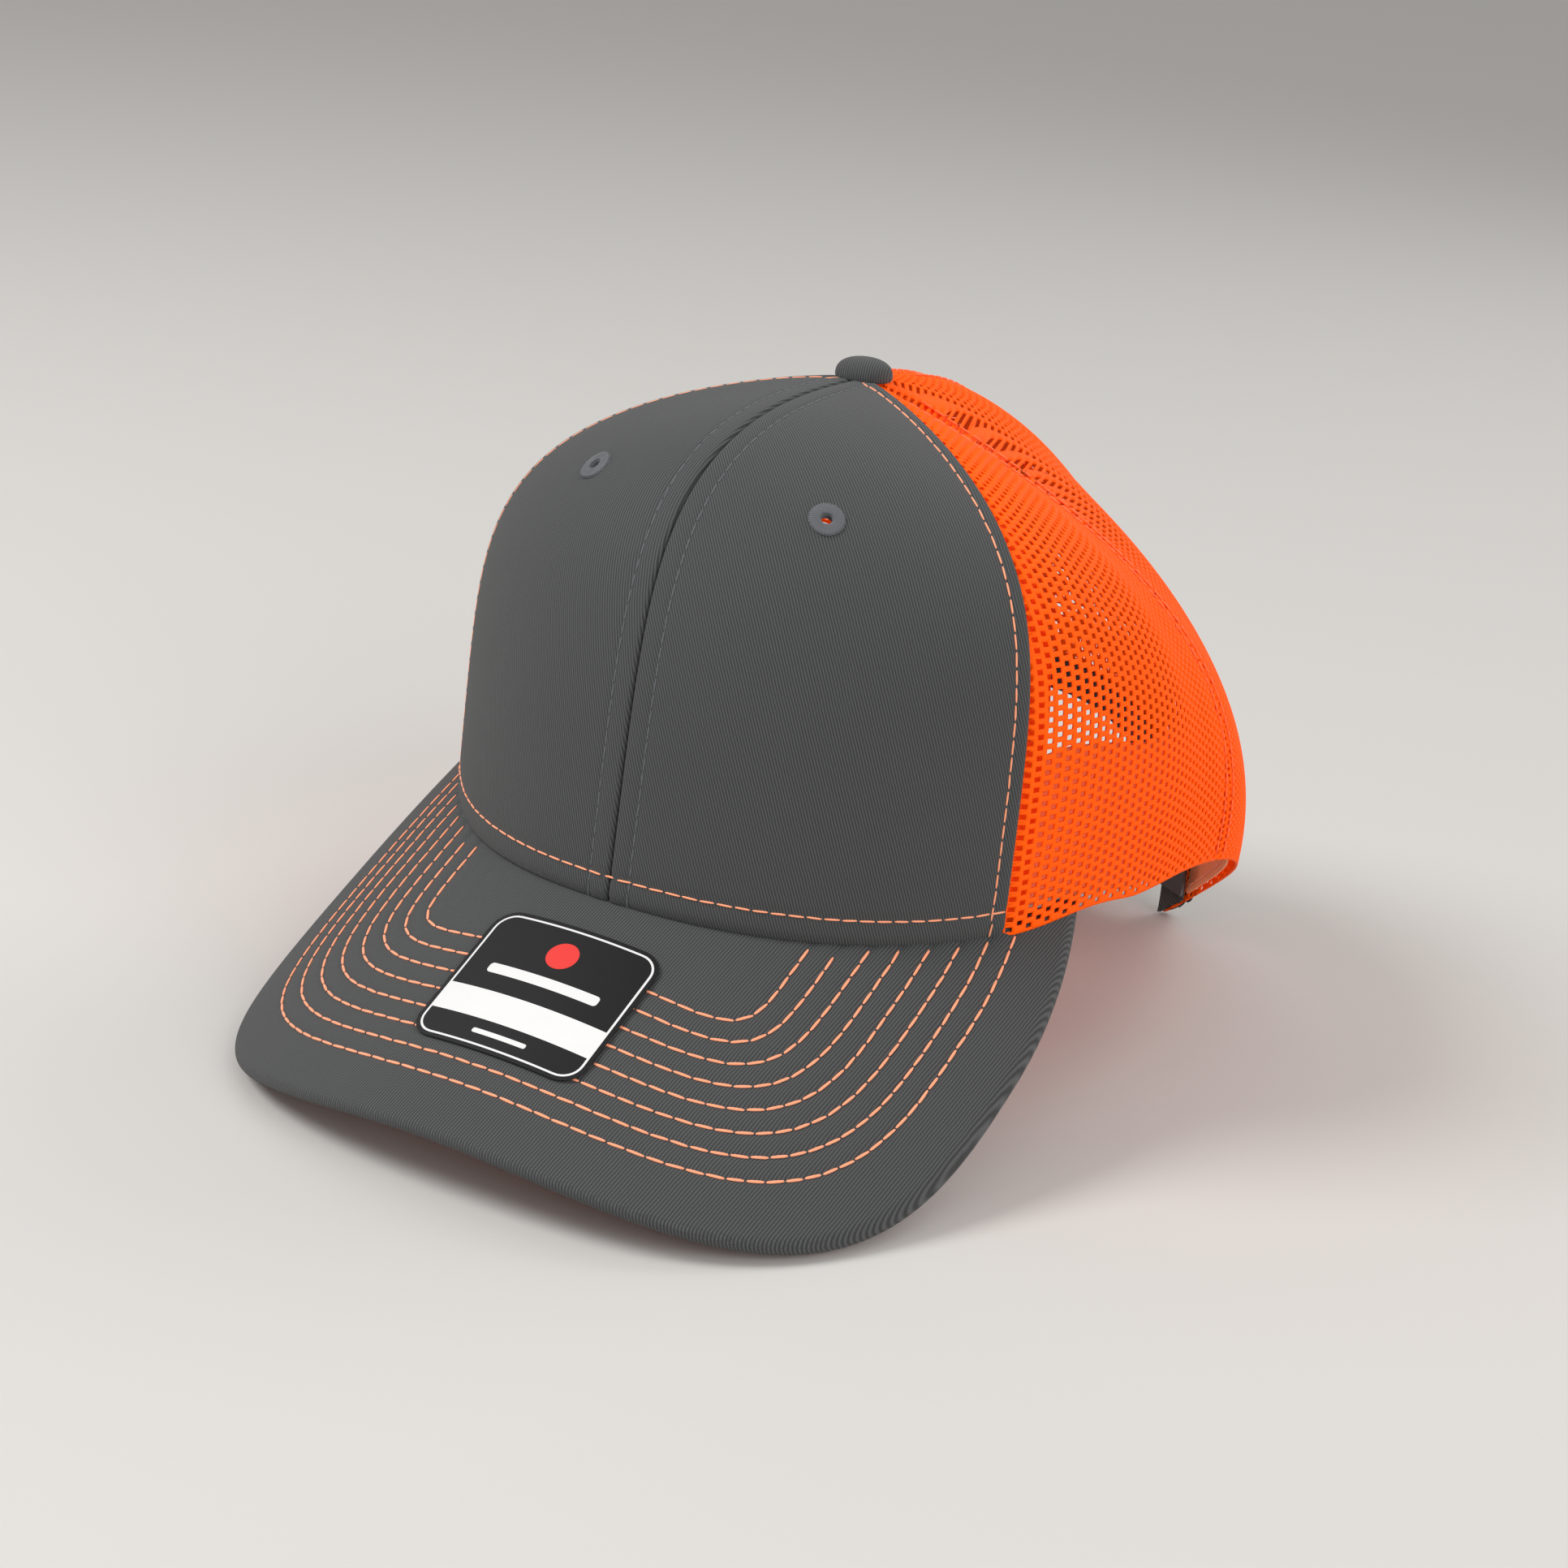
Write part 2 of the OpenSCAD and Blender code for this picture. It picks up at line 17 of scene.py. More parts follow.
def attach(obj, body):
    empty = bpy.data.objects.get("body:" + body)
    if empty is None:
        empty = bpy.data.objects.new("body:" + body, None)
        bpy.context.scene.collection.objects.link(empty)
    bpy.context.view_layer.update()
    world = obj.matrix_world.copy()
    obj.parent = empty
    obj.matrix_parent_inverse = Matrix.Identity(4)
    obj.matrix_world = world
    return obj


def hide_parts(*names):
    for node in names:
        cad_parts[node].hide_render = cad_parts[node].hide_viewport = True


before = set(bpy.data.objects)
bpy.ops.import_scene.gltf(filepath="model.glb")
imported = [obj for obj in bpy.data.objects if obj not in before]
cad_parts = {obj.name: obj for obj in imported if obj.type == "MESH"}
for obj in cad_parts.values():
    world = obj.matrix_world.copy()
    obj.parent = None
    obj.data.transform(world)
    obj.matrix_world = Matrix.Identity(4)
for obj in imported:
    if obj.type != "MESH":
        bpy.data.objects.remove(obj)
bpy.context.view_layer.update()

# %% [markdown]
# ## The crown's surface
# Every crown piece lies on one surface, which the CAD source defines. Its plan is an ellipse in
# front and a squarer curve behind, and each meridian rises from the hem to the button on a curve
# with two powers. Repeating those few formulas here, in metres, lets any piece be laid on the
# crown at any depth. The other way, shrink-wrapping onto the CAD mesh, would copy its facets.

# %% Sizes of the crown
HALF_WIDTH, FRONT_DEPTH, REAR_DEPTH = 0.078, 0.0935, 0.104
CROWN_HEIGHT, TOP_AHEAD = 0.1367, 0.0114
FRONT_SEAM, SIDE_SEAM = 52.0, 112.0
FRONT_SQUARE, REAR_SQUARE = 2.0, 2.85
PLAN_POWER = (0.666, 1.555, 2.0, 0.84)
RISE_POWER = (0.368, 0.396, 0.617, 1.303)
SIDE_BULGE, FRONT_FLAT = 0.0046, 0.0097
SIDE_HEM, HEM_ROUND = 0.0446, 0.001
HEM_TURN, HEM_FOOT, HEM_CURVE = 80.0, 156.0, 2.7
VISOR_END, HEM_BLEND = 56.0, 24.0
TOP_HOLE = 0.004
MM = 0.001

# %% Sizes of the visor
VISOR_LENGTH, VISOR_HALF, VISOR_BEND = 0.0614, 0.0857, 0.1156
VISOR_TILT = math.radians(28.2)
VISOR_HEIGHT = 0.042388
VISOR_BACK, VISOR_REAR, VISOR_SQUARE = 0.014, 0.0965, 2.95
VISOR_THICK = 0.0034
VISOR_REACH = 0.0028
FIRST_ROW, ROW_PITCH, ROWS = 0.012, 0.00485, 8
ROW_HALF = 0.0003


# %% Curves round the crown
def smooth(t):
    t = np.clip(t, 0, 1)
    return t * t * (3 - 2 * t)


def around(values, a):
    """A smooth value at angle a, from its values at 0, 60, 90 and 180 degrees."""
    front, third, side, back = values
    k0 = ((front + back) / 2 + side) / 2
    k2 = ((front + back) / 2 - side) / 2
    k1 = ((front - back) / 2 + third - k0 + k2 / 2) / 1.5
    k3 = (front - back) / 2 - k1
    r = np.radians(a)
    return k0 + k1 * np.cos(r) + k2 * np.cos(2 * r) + k3 * np.cos(3 * r)


def plan_radius(a, inset=0.0):
    """Radius of the head opening at angle a, a depth inside the outer surface."""
    c, s = np.cos(np.radians(a)), np.sin(np.radians(a))
    depth = np.where(c > 0, FRONT_DEPTH, REAR_DEPTH) - inset
    n = np.where(c > 0, FRONT_SQUARE, REAR_SQUARE)
    return (np.abs(s / (HALF_WIDTH - inset)) ** n + np.abs(c / depth) ** n) ** (-1 / n)


def sag(x):
    return VISOR_BEND - np.sqrt(np.maximum(VISOR_BEND**2 - x * x, 1e-6))


def visor_top(x, y):
    return VISOR_HEIGHT + (y + FRONT_DEPTH) * math.tan(VISOR_TILT) - sag(x) / math.cos(VISOR_TILT)


def hem_height(a, inset=0.0):
    """Height of the hem, which follows the visor's top in front."""
    fall = np.maximum(np.abs(a) - HEM_TURN, 0) / (HEM_FOOT - HEM_TURN)
    h = SIDE_HEM * (1 - fall ** HEM_CURVE)
    free = (h + np.sqrt(h * h + HEM_ROUND**2)) / 2
    w = smooth((np.abs(a) - VISOR_END) / HEM_BLEND)
    r, q = plan_radius(a, inset), np.radians(a)
    return (visor_top(r * np.sin(q), -r * np.cos(q)) + 0.3 * MM) * (1 - w) + free * w


def bulge(a):
    return SIDE_BULGE - FRONT_FLAT * np.cos(np.radians(a))


def crown_point(a, rho, eta, inset=0.0):
    """rho runs from 1 at the hem to 0 at the top, eta from 0 to 1."""
    r, q = (plan_radius(a, inset) + bulge(a) * eta) * rho, np.radians(a)
    z = hem_height(a, inset)
    return np.stack([r * np.sin(q), -r * np.cos(q) - TOP_AHEAD * (1 - rho),
                     z + (CROWN_HEIGHT - inset - z) * eta], -1)


def profile(a, t, stop=TOP_HOLE):
    """rho and eta by a running value: 0 at the hem, 1 at the shoulder, 2 at the top hole."""
    p, q = around(PLAN_POWER, a), around(RISE_POWER, a)
    half = math.sin(math.pi / 4)
    shoulder, top = half**p, half**q
    low = np.clip(top * np.clip(t, 0, 1), 0, 1)
    rho = shoulder + (stop / plan_radius(a) - shoulder) * np.clip(t - 1, 0, 1)
    rho = np.where(t <= 1, (1 - low ** (2 / q)) ** (p / 2), rho)
    eta = np.where(t <= 1, low, (1 - np.clip(rho, 0, 1) ** (2 / p)) ** (q / 2))
    return rho, eta


def crown_at(a, t, inset=0.0):
    """The crown's point at angle a and running value t."""
    return crown_point(a, *profile(a, t), inset)


def wall_point(a, z, inset=0.0):
    """The crown's point at angle a and height z."""
    p, q, z0 = around(PLAN_POWER, a), around(RISE_POWER, a), hem_height(a, inset)
    eta = np.clip((z - z0) / (CROWN_HEIGHT - inset - z0), 0, 1)
    return crown_point(a, (1 - eta ** (2 / q)) ** (p / 2), eta, inset)


# %% [markdown]
# ## Cloth measure
# Cloth doesn't stretch, so a panel is best thought of as a flat piece: a distance across from its
# middle line and a distance up from the hem. Two tables of arc length turn those two distances
# into a place on the crown, and back. The flat place becomes the UV map, so weave and knit keep
# their real size all over, however the panel curves.

# %% Tables of arc length
def run_along(points):
    """Distance along a line of points, from its first."""
    return np.concatenate([[0], np.cumsum(np.linalg.norm(np.diff(points, axis=0), axis=1))])


TABLE_A = np.linspace(0, 180, 181)
TABLE_T = np.linspace(0, 2, 161)
RISE = np.stack([run_along(line) for line in crown_at(TABLE_A[:, None], TABLE_T[None, :])])
_plan = plan_radius(TABLE_A)[:, None] * np.stack(
    [np.sin(np.radians(TABLE_A)), np.cos(np.radians(TABLE_A))], -1)
ROUND = run_along(_plan)
print("hem, all round:", round(2 * ROUND[-1], 4), "m; front meridian:", round(RISE[0, -1], 4), "m")


def by_angle(a, value, table, inverse=False):
    """Looks up a value in the meridian tables at each angle, forwards or backwards."""
    a = np.clip(np.abs(a), 0, 179.999)
    i = a.astype(int)
    w, out = a - i, np.zeros_like(value)
    for k in np.unique(i):
        pick = i == k
        ends = [(table[j], TABLE_T) if inverse else (TABLE_T, table[j]) for j in (k, k + 1)]
        v = [np.interp(value[pick], x, y) for x, y in ends]
        out[pick] = v[0] * (1 - w[pick]) + v[1] * w[pick]
    return out


def round_at(a):
    """Distance round the hem, from the front to angle a."""
    return np.interp(np.abs(a), TABLE_A, ROUND)


def t_at(a, up):
    return by_angle(a, up, RISE, inverse=True)


def up_at(a, t):
    return by_angle(a, t, RISE)


def narrowing(a, t):
    """How much narrower the crown is at t than at the hem."""
    rho, eta = profile(a, t)
    return rho * (1 + bulge(a) * eta / plan_radius(a))


def seam_distance(a, t, seam):
    """Distance over the cloth to a meridian seam."""
    return (round_at(a) - round_at(seam)) * narrowing(a, t)


def angle_across(mid, across, up):
    """The angle at a distance across from the meridian mid, at a distance up from the hem."""
    a = np.full_like(across, mid)
    for _ in range(5):
        wide = np.maximum(narrowing(a, t_at(a, up)), 0.03)
        a = np.interp(round_at(mid) + across / wide, ROUND, TABLE_A)
    return a


# %% [markdown]
# ## Materials
# Four effects are shared, so each is a node group: the ribs of twill, the strands of thread, the
# threads of a plain woven tape, and a slow unevenness of colour that all cloth has. Each pattern
# also gives a painted shade, darker in its hollows and lighter on its tops, that the colour group
# multiplies in. The twill and woven patterns read the pieces' own UV map, which is in metres.
# Shaders stay in each material.

# %% Node helpers
def new_group(name, inputs, outputs):
    group = bpy.data.node_groups.new(name, "ShaderNodeTree")
    for kind, rows in (("INPUT", inputs), ("OUTPUT", outputs)):
        for label, socket, *value in rows:
            made = group.interface.new_socket(label, in_out=kind, socket_type="NodeSocket" + socket)
            if value:
                made.default_value = value[0]
    given = group.nodes.new("NodeGroupInput").outputs
    return group, given, group.nodes.new("NodeGroupOutput").inputs


def node(tree, kind, inputs=None, **settings):
    made = tree.nodes.new("ShaderNode" + kind)
    for key, value in settings.items():
        setattr(made, key, value)
    for key, value in (inputs or {}).items():
        if isinstance(value, bpy.types.NodeSocket):
            tree.links.new(value, made.inputs[key])
        else:
            made.inputs[key].default_value = value
    return made


def maths(tree, operation, *values):
    return node(tree, "Math", dict(enumerate(values)), operation=operation).outputs[0]


def noise(tree, where, size, detail=2.0, **more):
    inputs = {"Vector": where, "Scale": size, "Detail": detail, **more}
    return node(tree, "TexNoise", inputs).outputs[0]


PATTERN_OUT = [("Height", "Float"), ("Shade", "Float")]


def end_pattern(group, given, out, height, middle):
    """Ends a pattern group: its height, and a painted shade, darker below the height's middle and
    lighter above.
    """
    group.links.new(height, out["Height"])
    # Painted shade: the low parts of the height darken the colour and the high parts lighten it
    painted_shade = maths(group, "MULTIPLY", maths(group, "SUBTRACT", height, middle), given["Depth"])
    group.links.new(maths(group, "ADD", painted_shade, 1.0), out["Shade"])
    return group


def wave_of(tree, u, v, across, along, pitch, shake):
    """0 to 1, a wave of that pitch along the direction (across, along)."""
    place = maths(tree, "MULTIPLY_ADD", v, along, maths(tree, "MULTIPLY", u, across))
    turn = maths(tree, "MULTIPLY_ADD", place, 2 * math.pi / pitch, shake)
    return maths(tree, "MULTIPLY_ADD", maths(tree, "SINE", turn), 0.5, 0.5)


# %% Twill ribs
def twill_group():
    group, given, out = new_group(
        "twill_ribs", [("Map", "Vector"), ("Lean", "Float", 0.35), ("Depth", "Float", 0.45)],
        PATTERN_OUT)
    part = node(group, "SeparateXYZ", {0: given["Map"]}).outputs
    shake = maths(group, "MULTIPLY", noise(group, given["Map"], RIB_DRIFT), RIB_SHAKE)
    lean = maths(group, "MULTIPLY", part[1], given["Lean"])
    rib = wave_of(group, maths(group, "ADD", part[0], lean), part[1], 1.0, 0.0, RIB_PITCH, shake)
    yarn = wave_of(group, part[0], part[1], 0.35, 1.0, RIB_PITCH * 0.8, shake)
    fibre = noise(group, given["Map"], FIBRE)
    body = maths(group, "MULTIPLY", rib, maths(group, "MULTIPLY_ADD", yarn, 0.35, 0.65))
    height = maths(group, "MULTIPLY_ADD", fibre, 0.35, body)
    return end_pattern(group, given, out, height, 0.55)


# Noise sizes are in turns a metre
RIB_PITCH, RIB_DRIFT, RIB_SHAKE, FIBRE = 0.6 * MM, 160.0, 3.6, 5200.0
TWILL_RIBS = twill_group()


# %% Uneven colour and painted shade
def uneven_and_shade_group():
    group, given, out = new_group(
        "uneven_dye_and_painted_shade", [("Color", "Color"), ("Shade", "Float", 1.0), ("Amount", "Float", 0.12)],
        [("Color", "Color")])
    cloud = noise(group, node(group, "TexCoord").outputs["Object"], DYE_CLOUD, 3.0)
    level = maths(group, "MULTIPLY", maths(group, "SUBTRACT", cloud, 0.5), given["Amount"])
    # The pattern's painted shade multiplies the uneven colour here
    level = maths(group, "MULTIPLY", maths(group, "ADD", level, 1.0), given["Shade"])
    tinted = node(group, "VectorMath", {0: given["Color"], "Scale": level}, operation="SCALE")
    group.links.new(tinted.outputs[0], out["Color"])
    return group


DYE_CLOUD = 30.0
UNEVEN_AND_SHADE = uneven_and_shade_group()


# %% Woven threads, for tape and buckram
def woven_group():
    group, given, out = new_group(
        "woven_threads", [("Map", "Vector"), ("Pitch", "Float", 0.5 * MM), ("Depth", "Float", 0.3)],
        PATTERN_OUT)
    part = node(group, "SeparateXYZ", {0: given["Map"]}).outputs
    turns = maths(group, "DIVIDE", 2 * math.pi, given["Pitch"])
    warp = maths(group, "SINE", maths(group, "MULTIPLY", part[0], turns))
    weft = maths(group, "SINE", maths(group, "MULTIPLY", part[1], turns))
    fibre = noise(group, given["Map"], 4000.0)
    cross = maths(group, "MULTIPLY_ADD", maths(group, "MULTIPLY", warp, weft), 0.4, 0.3)
    height = maths(group, "MULTIPLY_ADD", fibre, 0.4, cross)
    return end_pattern(group, given, out, height, 0.5)


WOVEN = woven_group()


# %% Thread strands
def strand_group():
    group, given, out = new_group(
        "strands", [("Size", "Float", 2500.0), ("Depth", "Float", 0.3)], PATTERN_OUT)
    where = node(group, "TexCoord").outputs["Object"]
    fibre = noise(group, where, given["Size"], 3.0, Roughness=0.65)
    return end_pattern(group, given, out, fibre, 0.5)


STRANDS = strand_group()


# %% One way to make each material
def finish_of(name, colour, pattern, bump, rough, sheen=0.0, mapped=True, uneven=0.12,
              values=None, **sockets):
    """A material: a pattern group gives height and a painted shade, and the second group the uneven
    colour with that painted shade multiplied in.
    """
    made = bpy.data.materials.new(name)
    made.use_nodes = True
    tree = made.node_tree
    tree.nodes.clear()
    inputs = dict(values or {})
    if mapped:
        inputs["Map"] = node(tree, "UVMap", uv_map="cloth").outputs[0]
    weave = node(tree, "Group", inputs, node_tree=pattern)
    dye_and_shade = node(tree, "Group", {"Color": (*colour, 1), "Amount": uneven,
                               "Shade": weave.outputs["Shade"]}, node_tree=UNEVEN_AND_SHADE)
    relief = node(tree, "Bump", {"Height": weave.outputs["Height"], "Strength": 0.8,
                                 "Distance": bump})
    shader = node(tree, "BsdfPrincipled", {
        "Base Color": dye_and_shade.outputs["Color"], "Roughness": rough, "Sheen Weight": sheen,
        "Normal": relief.outputs[0], **{k.replace("_", " "): v for k, v in sockets.items()}})
    node(tree, "OutputMaterial", {"Surface": shader.outputs[0]})
    return made


# depth sets how strongly the painted shade darkens the low spots of the fibre noise and lightens
# the high ones
def plain_finish(name, colour, bump, rough, size, depth, sheen=0.0, **more):
    """A finish whose pattern follows the object and needs no flat place."""
    return finish_of(name, colour, STRANDS, bump, rough, sheen, mapped=False,
                     values={"Size": size, "Depth": depth}, **more)


CHARCOAL, ORANGE = (0.055, 0.057, 0.058), (1.0, 0.10, 0.0)
# A large shade depth paints the twill's grooves dark and its ribs light in the colour
twill, visor_twill = (
    finish_of(name, CHARCOAL, TWILL_RIBS, 0.12 * MM, 0.85, 0.08,
              values={"Lean": lean, "Depth": 1.1}, Specular_IOR_Level=0.25)
    for name, lean in (("charcoal_twill", 0.36), ("visor_twill", 0.10)))
# The knit is a neon orange; a weak orange emission adds a painted glow, so it looks brighter than
# the lamps alone make it
mesh_knit = plain_finish("orange_knit", ORANGE, 0.10 * MM, 0.6, 1800.0, 0.35, uneven=0.10,
                         Specular_IOR_Level=0.12, Emission_Color=(*ORANGE, 1),
                         Emission_Strength=0.1)
# The tape's colour is set a touch lighter and given a weak orange emission: a painted glow that
# lifts it out of the shade it lies in under the mesh
seam_tape = finish_of("orange_tape", (1.0, 0.12, 0.01), WOVEN, 0.08 * MM, 0.8,
                      values={"Pitch": 0.7 * MM, "Depth": 0.35}, Specular_IOR_Level=0.25,
                      Emission_Color=(*ORANGE, 1), Emission_Strength=0.06)
# The salmon colour is the band's own, made lighter, and a weak emission adds a painted glow for the
# light that comes through the mesh onto it
band_cotton = finish_of("salmon_cotton", (1.0, 0.33, 0.15), TWILL_RIBS, 0.1 * MM, 0.9, 0.15,
                        values={"Lean": 0.8, "Depth": 0.3}, Specular_IOR_Level=0.2,
                        Emission_Color=(1.0, 0.28, 0.12, 1), Emission_Strength=0.06)
buckram = finish_of("buckram", (0.56, 0.56, 0.53), WOVEN, 0.15 * MM, 0.85,
                    values={"Pitch": 1.1 * MM, "Depth": 0.8}, Specular_IOR_Level=0.3)
foam = plain_finish("pad_foam", (0.72, 0.71, 0.68), 0.1 * MM, 0.9, 900.0, 0.2)
contrast = plain_finish("salmon_thread", (1.0, 0.36, 0.19), 0.06 * MM, 0.55, FIBRE, 0.35, 0.2,
                        Specular_IOR_Level=0.4)
tonal = plain_finish("grey_thread", (0.10, 0.105, 0.115), 0.06 * MM, 0.6, FIBRE, 0.35, 0.2,
                     Specular_IOR_Level=0.3)
mesh_thread = plain_finish("orange_thread", (1.0, 0.14, 0.02), 0.06 * MM, 0.55, FIBRE, 0.35, 0.1)
steel = plain_finish("plated_steel", (0.58, 0.58, 0.57), 0.01 * MM, 0.35, 700.0, 0.1, uneven=0.2,
                     Metallic=1.0)
board = plain_finish("visor_board_plastic", (0.72, 0.72, 0.70), 0.03 * MM, 0.5, 500.0, 0.05)
snap_plastic = plain_finish("snap_plastic", (0.048, 0.050, 0.055), 0.05 * MM, 0.42, 1500.0, 0.15,
                            uneven=0.15, Specular_IOR_Level=0.5)
label_black = plain_finish("label_black", (0.008, 0.008, 0.009), 0.01 * MM, 0.45, 300.0, 0.1,
                           Specular_IOR_Level=0.25)
label_white = plain_finish("label_white", (0.72, 0.72, 0.72), 0.01 * MM, 0.32, 300.0, 0.04)
label_red = plain_finish("label_red", (0.72, 0.035, 0.03), 0.01 * MM, 0.3, 300.0, 0.05)
print("materials:", len(bpy.data.materials))

# %% [markdown]
# ## From a flat grid to a sewn piece
# Each cloth piece starts as bmesh's flat grid. One function moves the grid's vertices onto the cap
# and keeps their flat place as the UV map. Another turns the bmesh into an object, gives it its
# thickness with Solidify, puts it on its body and hides the CAD solids it stands for.


# %% Helpers for cloth
def flat_grid(columns, rows):
    bm = bmesh.new()
    bmesh.ops.create_grid(bm, x_segments=columns, y_segments=rows, size=1)
    flat = np.array([v.co for v in bm.verts]) * 0.5 + 0.5
    return bm, flat[:, 0], flat[:, 1]


def lay(bm, points, cloth):
    """Puts every vertex in its place, with its flat place, in metres, as the UV map."""
    bm.verts.index_update()
    uv = bm.loops.layers.uv.new("cloth")
    for face in bm.faces:
        for corner in face.loops:
            corner[uv].uv = cloth[corner.vert.index]
    for vert, point in zip(bm.verts, points):
        vert.co = point


def flat_size(bm):
    """Width, length and area of the flat cloth."""
    uv = bm.loops.layers.uv["cloth"]
    corners = [[c[uv].uv.copy() for c in f.loops] for f in bm.faces]
    area = sum(abs(sum(p.cross(q) for p, q in zip(c, c[1:] + c[:1]))) / 2 for c in corners)
    every = np.array([p for c in corners for p in c])
    wide, long = np.ptp(every, axis=0)
    return float(wide), float(long), min(float(area), float(wide * long))


def face_out(bm, centre):
    """Turns the faces to look away from a point inside the cap."""
    bmesh.ops.recalc_face_normals(bm, faces=bm.faces[:])
    away = sum(f.normal.dot(f.calc_center_median() - centre) * f.calc_area() for f in bm.faces)
    if away < 0:
        bmesh.ops.reverse_faces(bm, faces=bm.faces[:])


CROWN_MIDDLE = Vector((0, 0, 0.05))


def mesh_from(bm, name):
    mesh = bpy.data.meshes.new(name)
    bm.to_mesh(mesh)
    bm.free()
    return mesh


def put_in_scene(name, data):
    made = bpy.data.objects.new(name, data)
    bpy.context.scene.collection.objects.link(made)
    return made


def add_piece(bm, name, material, replaces=(), thick=0.0, centre=CROWN_MIDDLE):
    bmesh.ops.remove_doubles(bm, verts=bm.verts[:], dist=2e-6)
    if centre is not None:
        face_out(bm, centre)
    mesh = mesh_from(bm, name)
    mesh.shade_smooth()
    for one in material if isinstance(material, list) else [material]:
        mesh.materials.append(one)
    piece = put_in_scene(name, mesh)
    if thick:
        wall = piece.modifiers.new("wall", "SOLIDIFY")
        wall.thickness, wall.offset = thick, -1
    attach(piece, "cap")
    if replaces:
        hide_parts(*replaces)
    print(f"{name}: {len(mesh.polygons)} faces")
    return piece


def add_sheet(bm, name, material, slot, replaces, thick, eyelet=None, centre=CROWN_MIDDLE, **says):
    """Measures the flat cloth, opens it round its eyelet if it has one, and adds it as a sheet."""
    wide, long, area = flat_size(bm)
    if eyelet:
        cut_eyelet(bm, *eyelet)
    piece = add_piece(bm, name, material, replaces, thick, centre)
    print("  flat", round(wide, 4), "x", round(long, 4), "m, area", round(area, 5))


SIDES = (("left", 1.0), ("right", -1.0))


def mirrored(points, sign):
    """Turns x over where sign is -1; sign is one number, or one for each point."""
    sign = np.asarray(sign, dtype=float)
    return points * np.stack([sign, np.ones_like(sign), np.ones_like(sign)], -1)


def normals_of(a, t, inset=0.0, step=0.02, turn=0.5):
    """The crown's point and its outward normal at each angle and running value."""
    up = crown_at(a, np.clip(t + step, 0, 2), inset) - crown_at(a, np.clip(t - step, 0, 2), inset)
    side = crown_at(a + turn, t, inset) - crown_at(a - turn, t, inset)
    n = np.cross(side, up)
    size = np.maximum(np.linalg.norm(n, axis=-1, keepdims=True), 1e-12)
    return crown_at(a, t, inset), n / size


# %% [markdown]
# ## Eyelets' places
# The two sewn eyelets sit at one height. Their place and outward direction come first, because the
# panels behind them need their holes.

# %% Where the eyelets are
EYELET_ANGLE, EYELET_HEIGHT = 21.0, 0.121
_e = 0.5  # a short way round, in degrees, and up, in mm
_at = wall_point(np.array(EYELET_ANGLE), EYELET_HEIGHT)
_side = wall_point(np.array(EYELET_ANGLE + _e), EYELET_HEIGHT) - _at
_up = wall_point(np.array(EYELET_ANGLE), EYELET_HEIGHT + _e * MM) - _at
EYELET = Vector(_at)
EYELET_OUT = Vector(np.cross(_side, _up)).normalized()
print("eyelet at", [round(x, 4) for x in EYELET])


def flipped(vector, sign):
    return Vector((vector.x * sign, vector.y, vector.z))


def cut_eyelet(bm, sign, radius):
    """Opens the cloth round an eyelet, where the embroidery covers the cut edge."""
    middle = flipped(EYELET, sign)
    near = [f for f in bm.faces if (f.calc_center_median() - middle).length < radius]
    bmesh.ops.delete(bm, geom=near, context="FACES")


# %% [markdown]
# ## Front panels
# The two twill panels are cut apart and joined on the centre seam. Twill over buckram is stiff, so
# the panels keep a clean curve. What makes them look sewn is small: the cloth turns in at each
# seam, a stitch row draws it down a little, and the base tucks in above the visor. Columns crowd
# towards the seams so the turned edges stay round.

# %% Panel maker
def edge_crowded(u):
    return 0.45 * u + 0.55 * (0.5 - 0.5 * np.cos(np.pi * u))


def dip(distance, width):
    return np.exp(-((distance / width) ** 2))


def crown_panel(a0, a1, columns, rows, inset, relief):
    """A panel between two meridians; relief lifts it by angle, running value and seam distances."""
    bm, u, v = flat_grid(columns, rows)
    a, t = a0 + (a1 - a0) * edge_crowded(u), v * 2
    up = up_at(a, t)
    here, out = normals_of(a, t, inset)
    lift = relief(a, t, up, seam_distance(a, t, a0), -seam_distance(a, t, a1))
    across = seam_distance(a, t, (a0 + a1) / 2)
    return bm, here + out * lift[:, None], np.stack([across, up], -1)


CENTRE_ASIDE, SIDE_ASIDE, BASE_RISE = 4.5 * MM, 3.5 * MM, 5.5 * MM
FADE = 0.02  # the cloth's slow waves die out this near a seam


def twill_relief(a, t, up, from_centre, from_side):
    lift = 0.25 * MM * np.sin(a / 9.0 + t * 2.2)
    lift *= smooth(from_centre / FADE) * smooth(from_side / FADE)
    lift -= 0.75 * MM * dip(from_centre, 0.42 * MM)
    lift += 0.12 * MM * dip(from_centre - 2.2 * MM, 1.8 * MM)
    lift -= 0.20 * MM * dip(from_centre - CENTRE_ASIDE, 0.7 * MM)
    lift += 0.30 * MM * smooth(1 - from_side / (6 * MM))
    lift -= 0.75 * MM * dip(from_side, 0.5 * MM)
    lift -= 0.22 * MM * dip(from_side - SIDE_ASIDE, 0.7 * MM)
    lift -= 0.22 * MM * dip(up - BASE_RISE, 0.9 * MM)
    lift -= 0.9 * MM * dip(up, 1.1 * MM)
    return lift


for side, sign in SIDES:
    bm, points, cloth = crown_panel(0.0, FRONT_SEAM, 120, 190, 0.0, twill_relief)
    lay(bm, mirrored(points, sign), cloth * np.array([sign, 1.0]))
    name = f"front_panel_{side}"
    add_sheet(bm, f"{name}_cloth", twill, "twill", [name], 0.7 * MM, eyelet=(sign, 2.0 * MM),
              held="stretched", rests_on=[f"front_backing_{side}_cloth"])

# %% [markdown]
# ## Buckram backing
# Behind each front panel is a stiff open-weave cloth that holds the crown up. It shows from under
# the cap, so it gets its own sheet with a coarse weave.

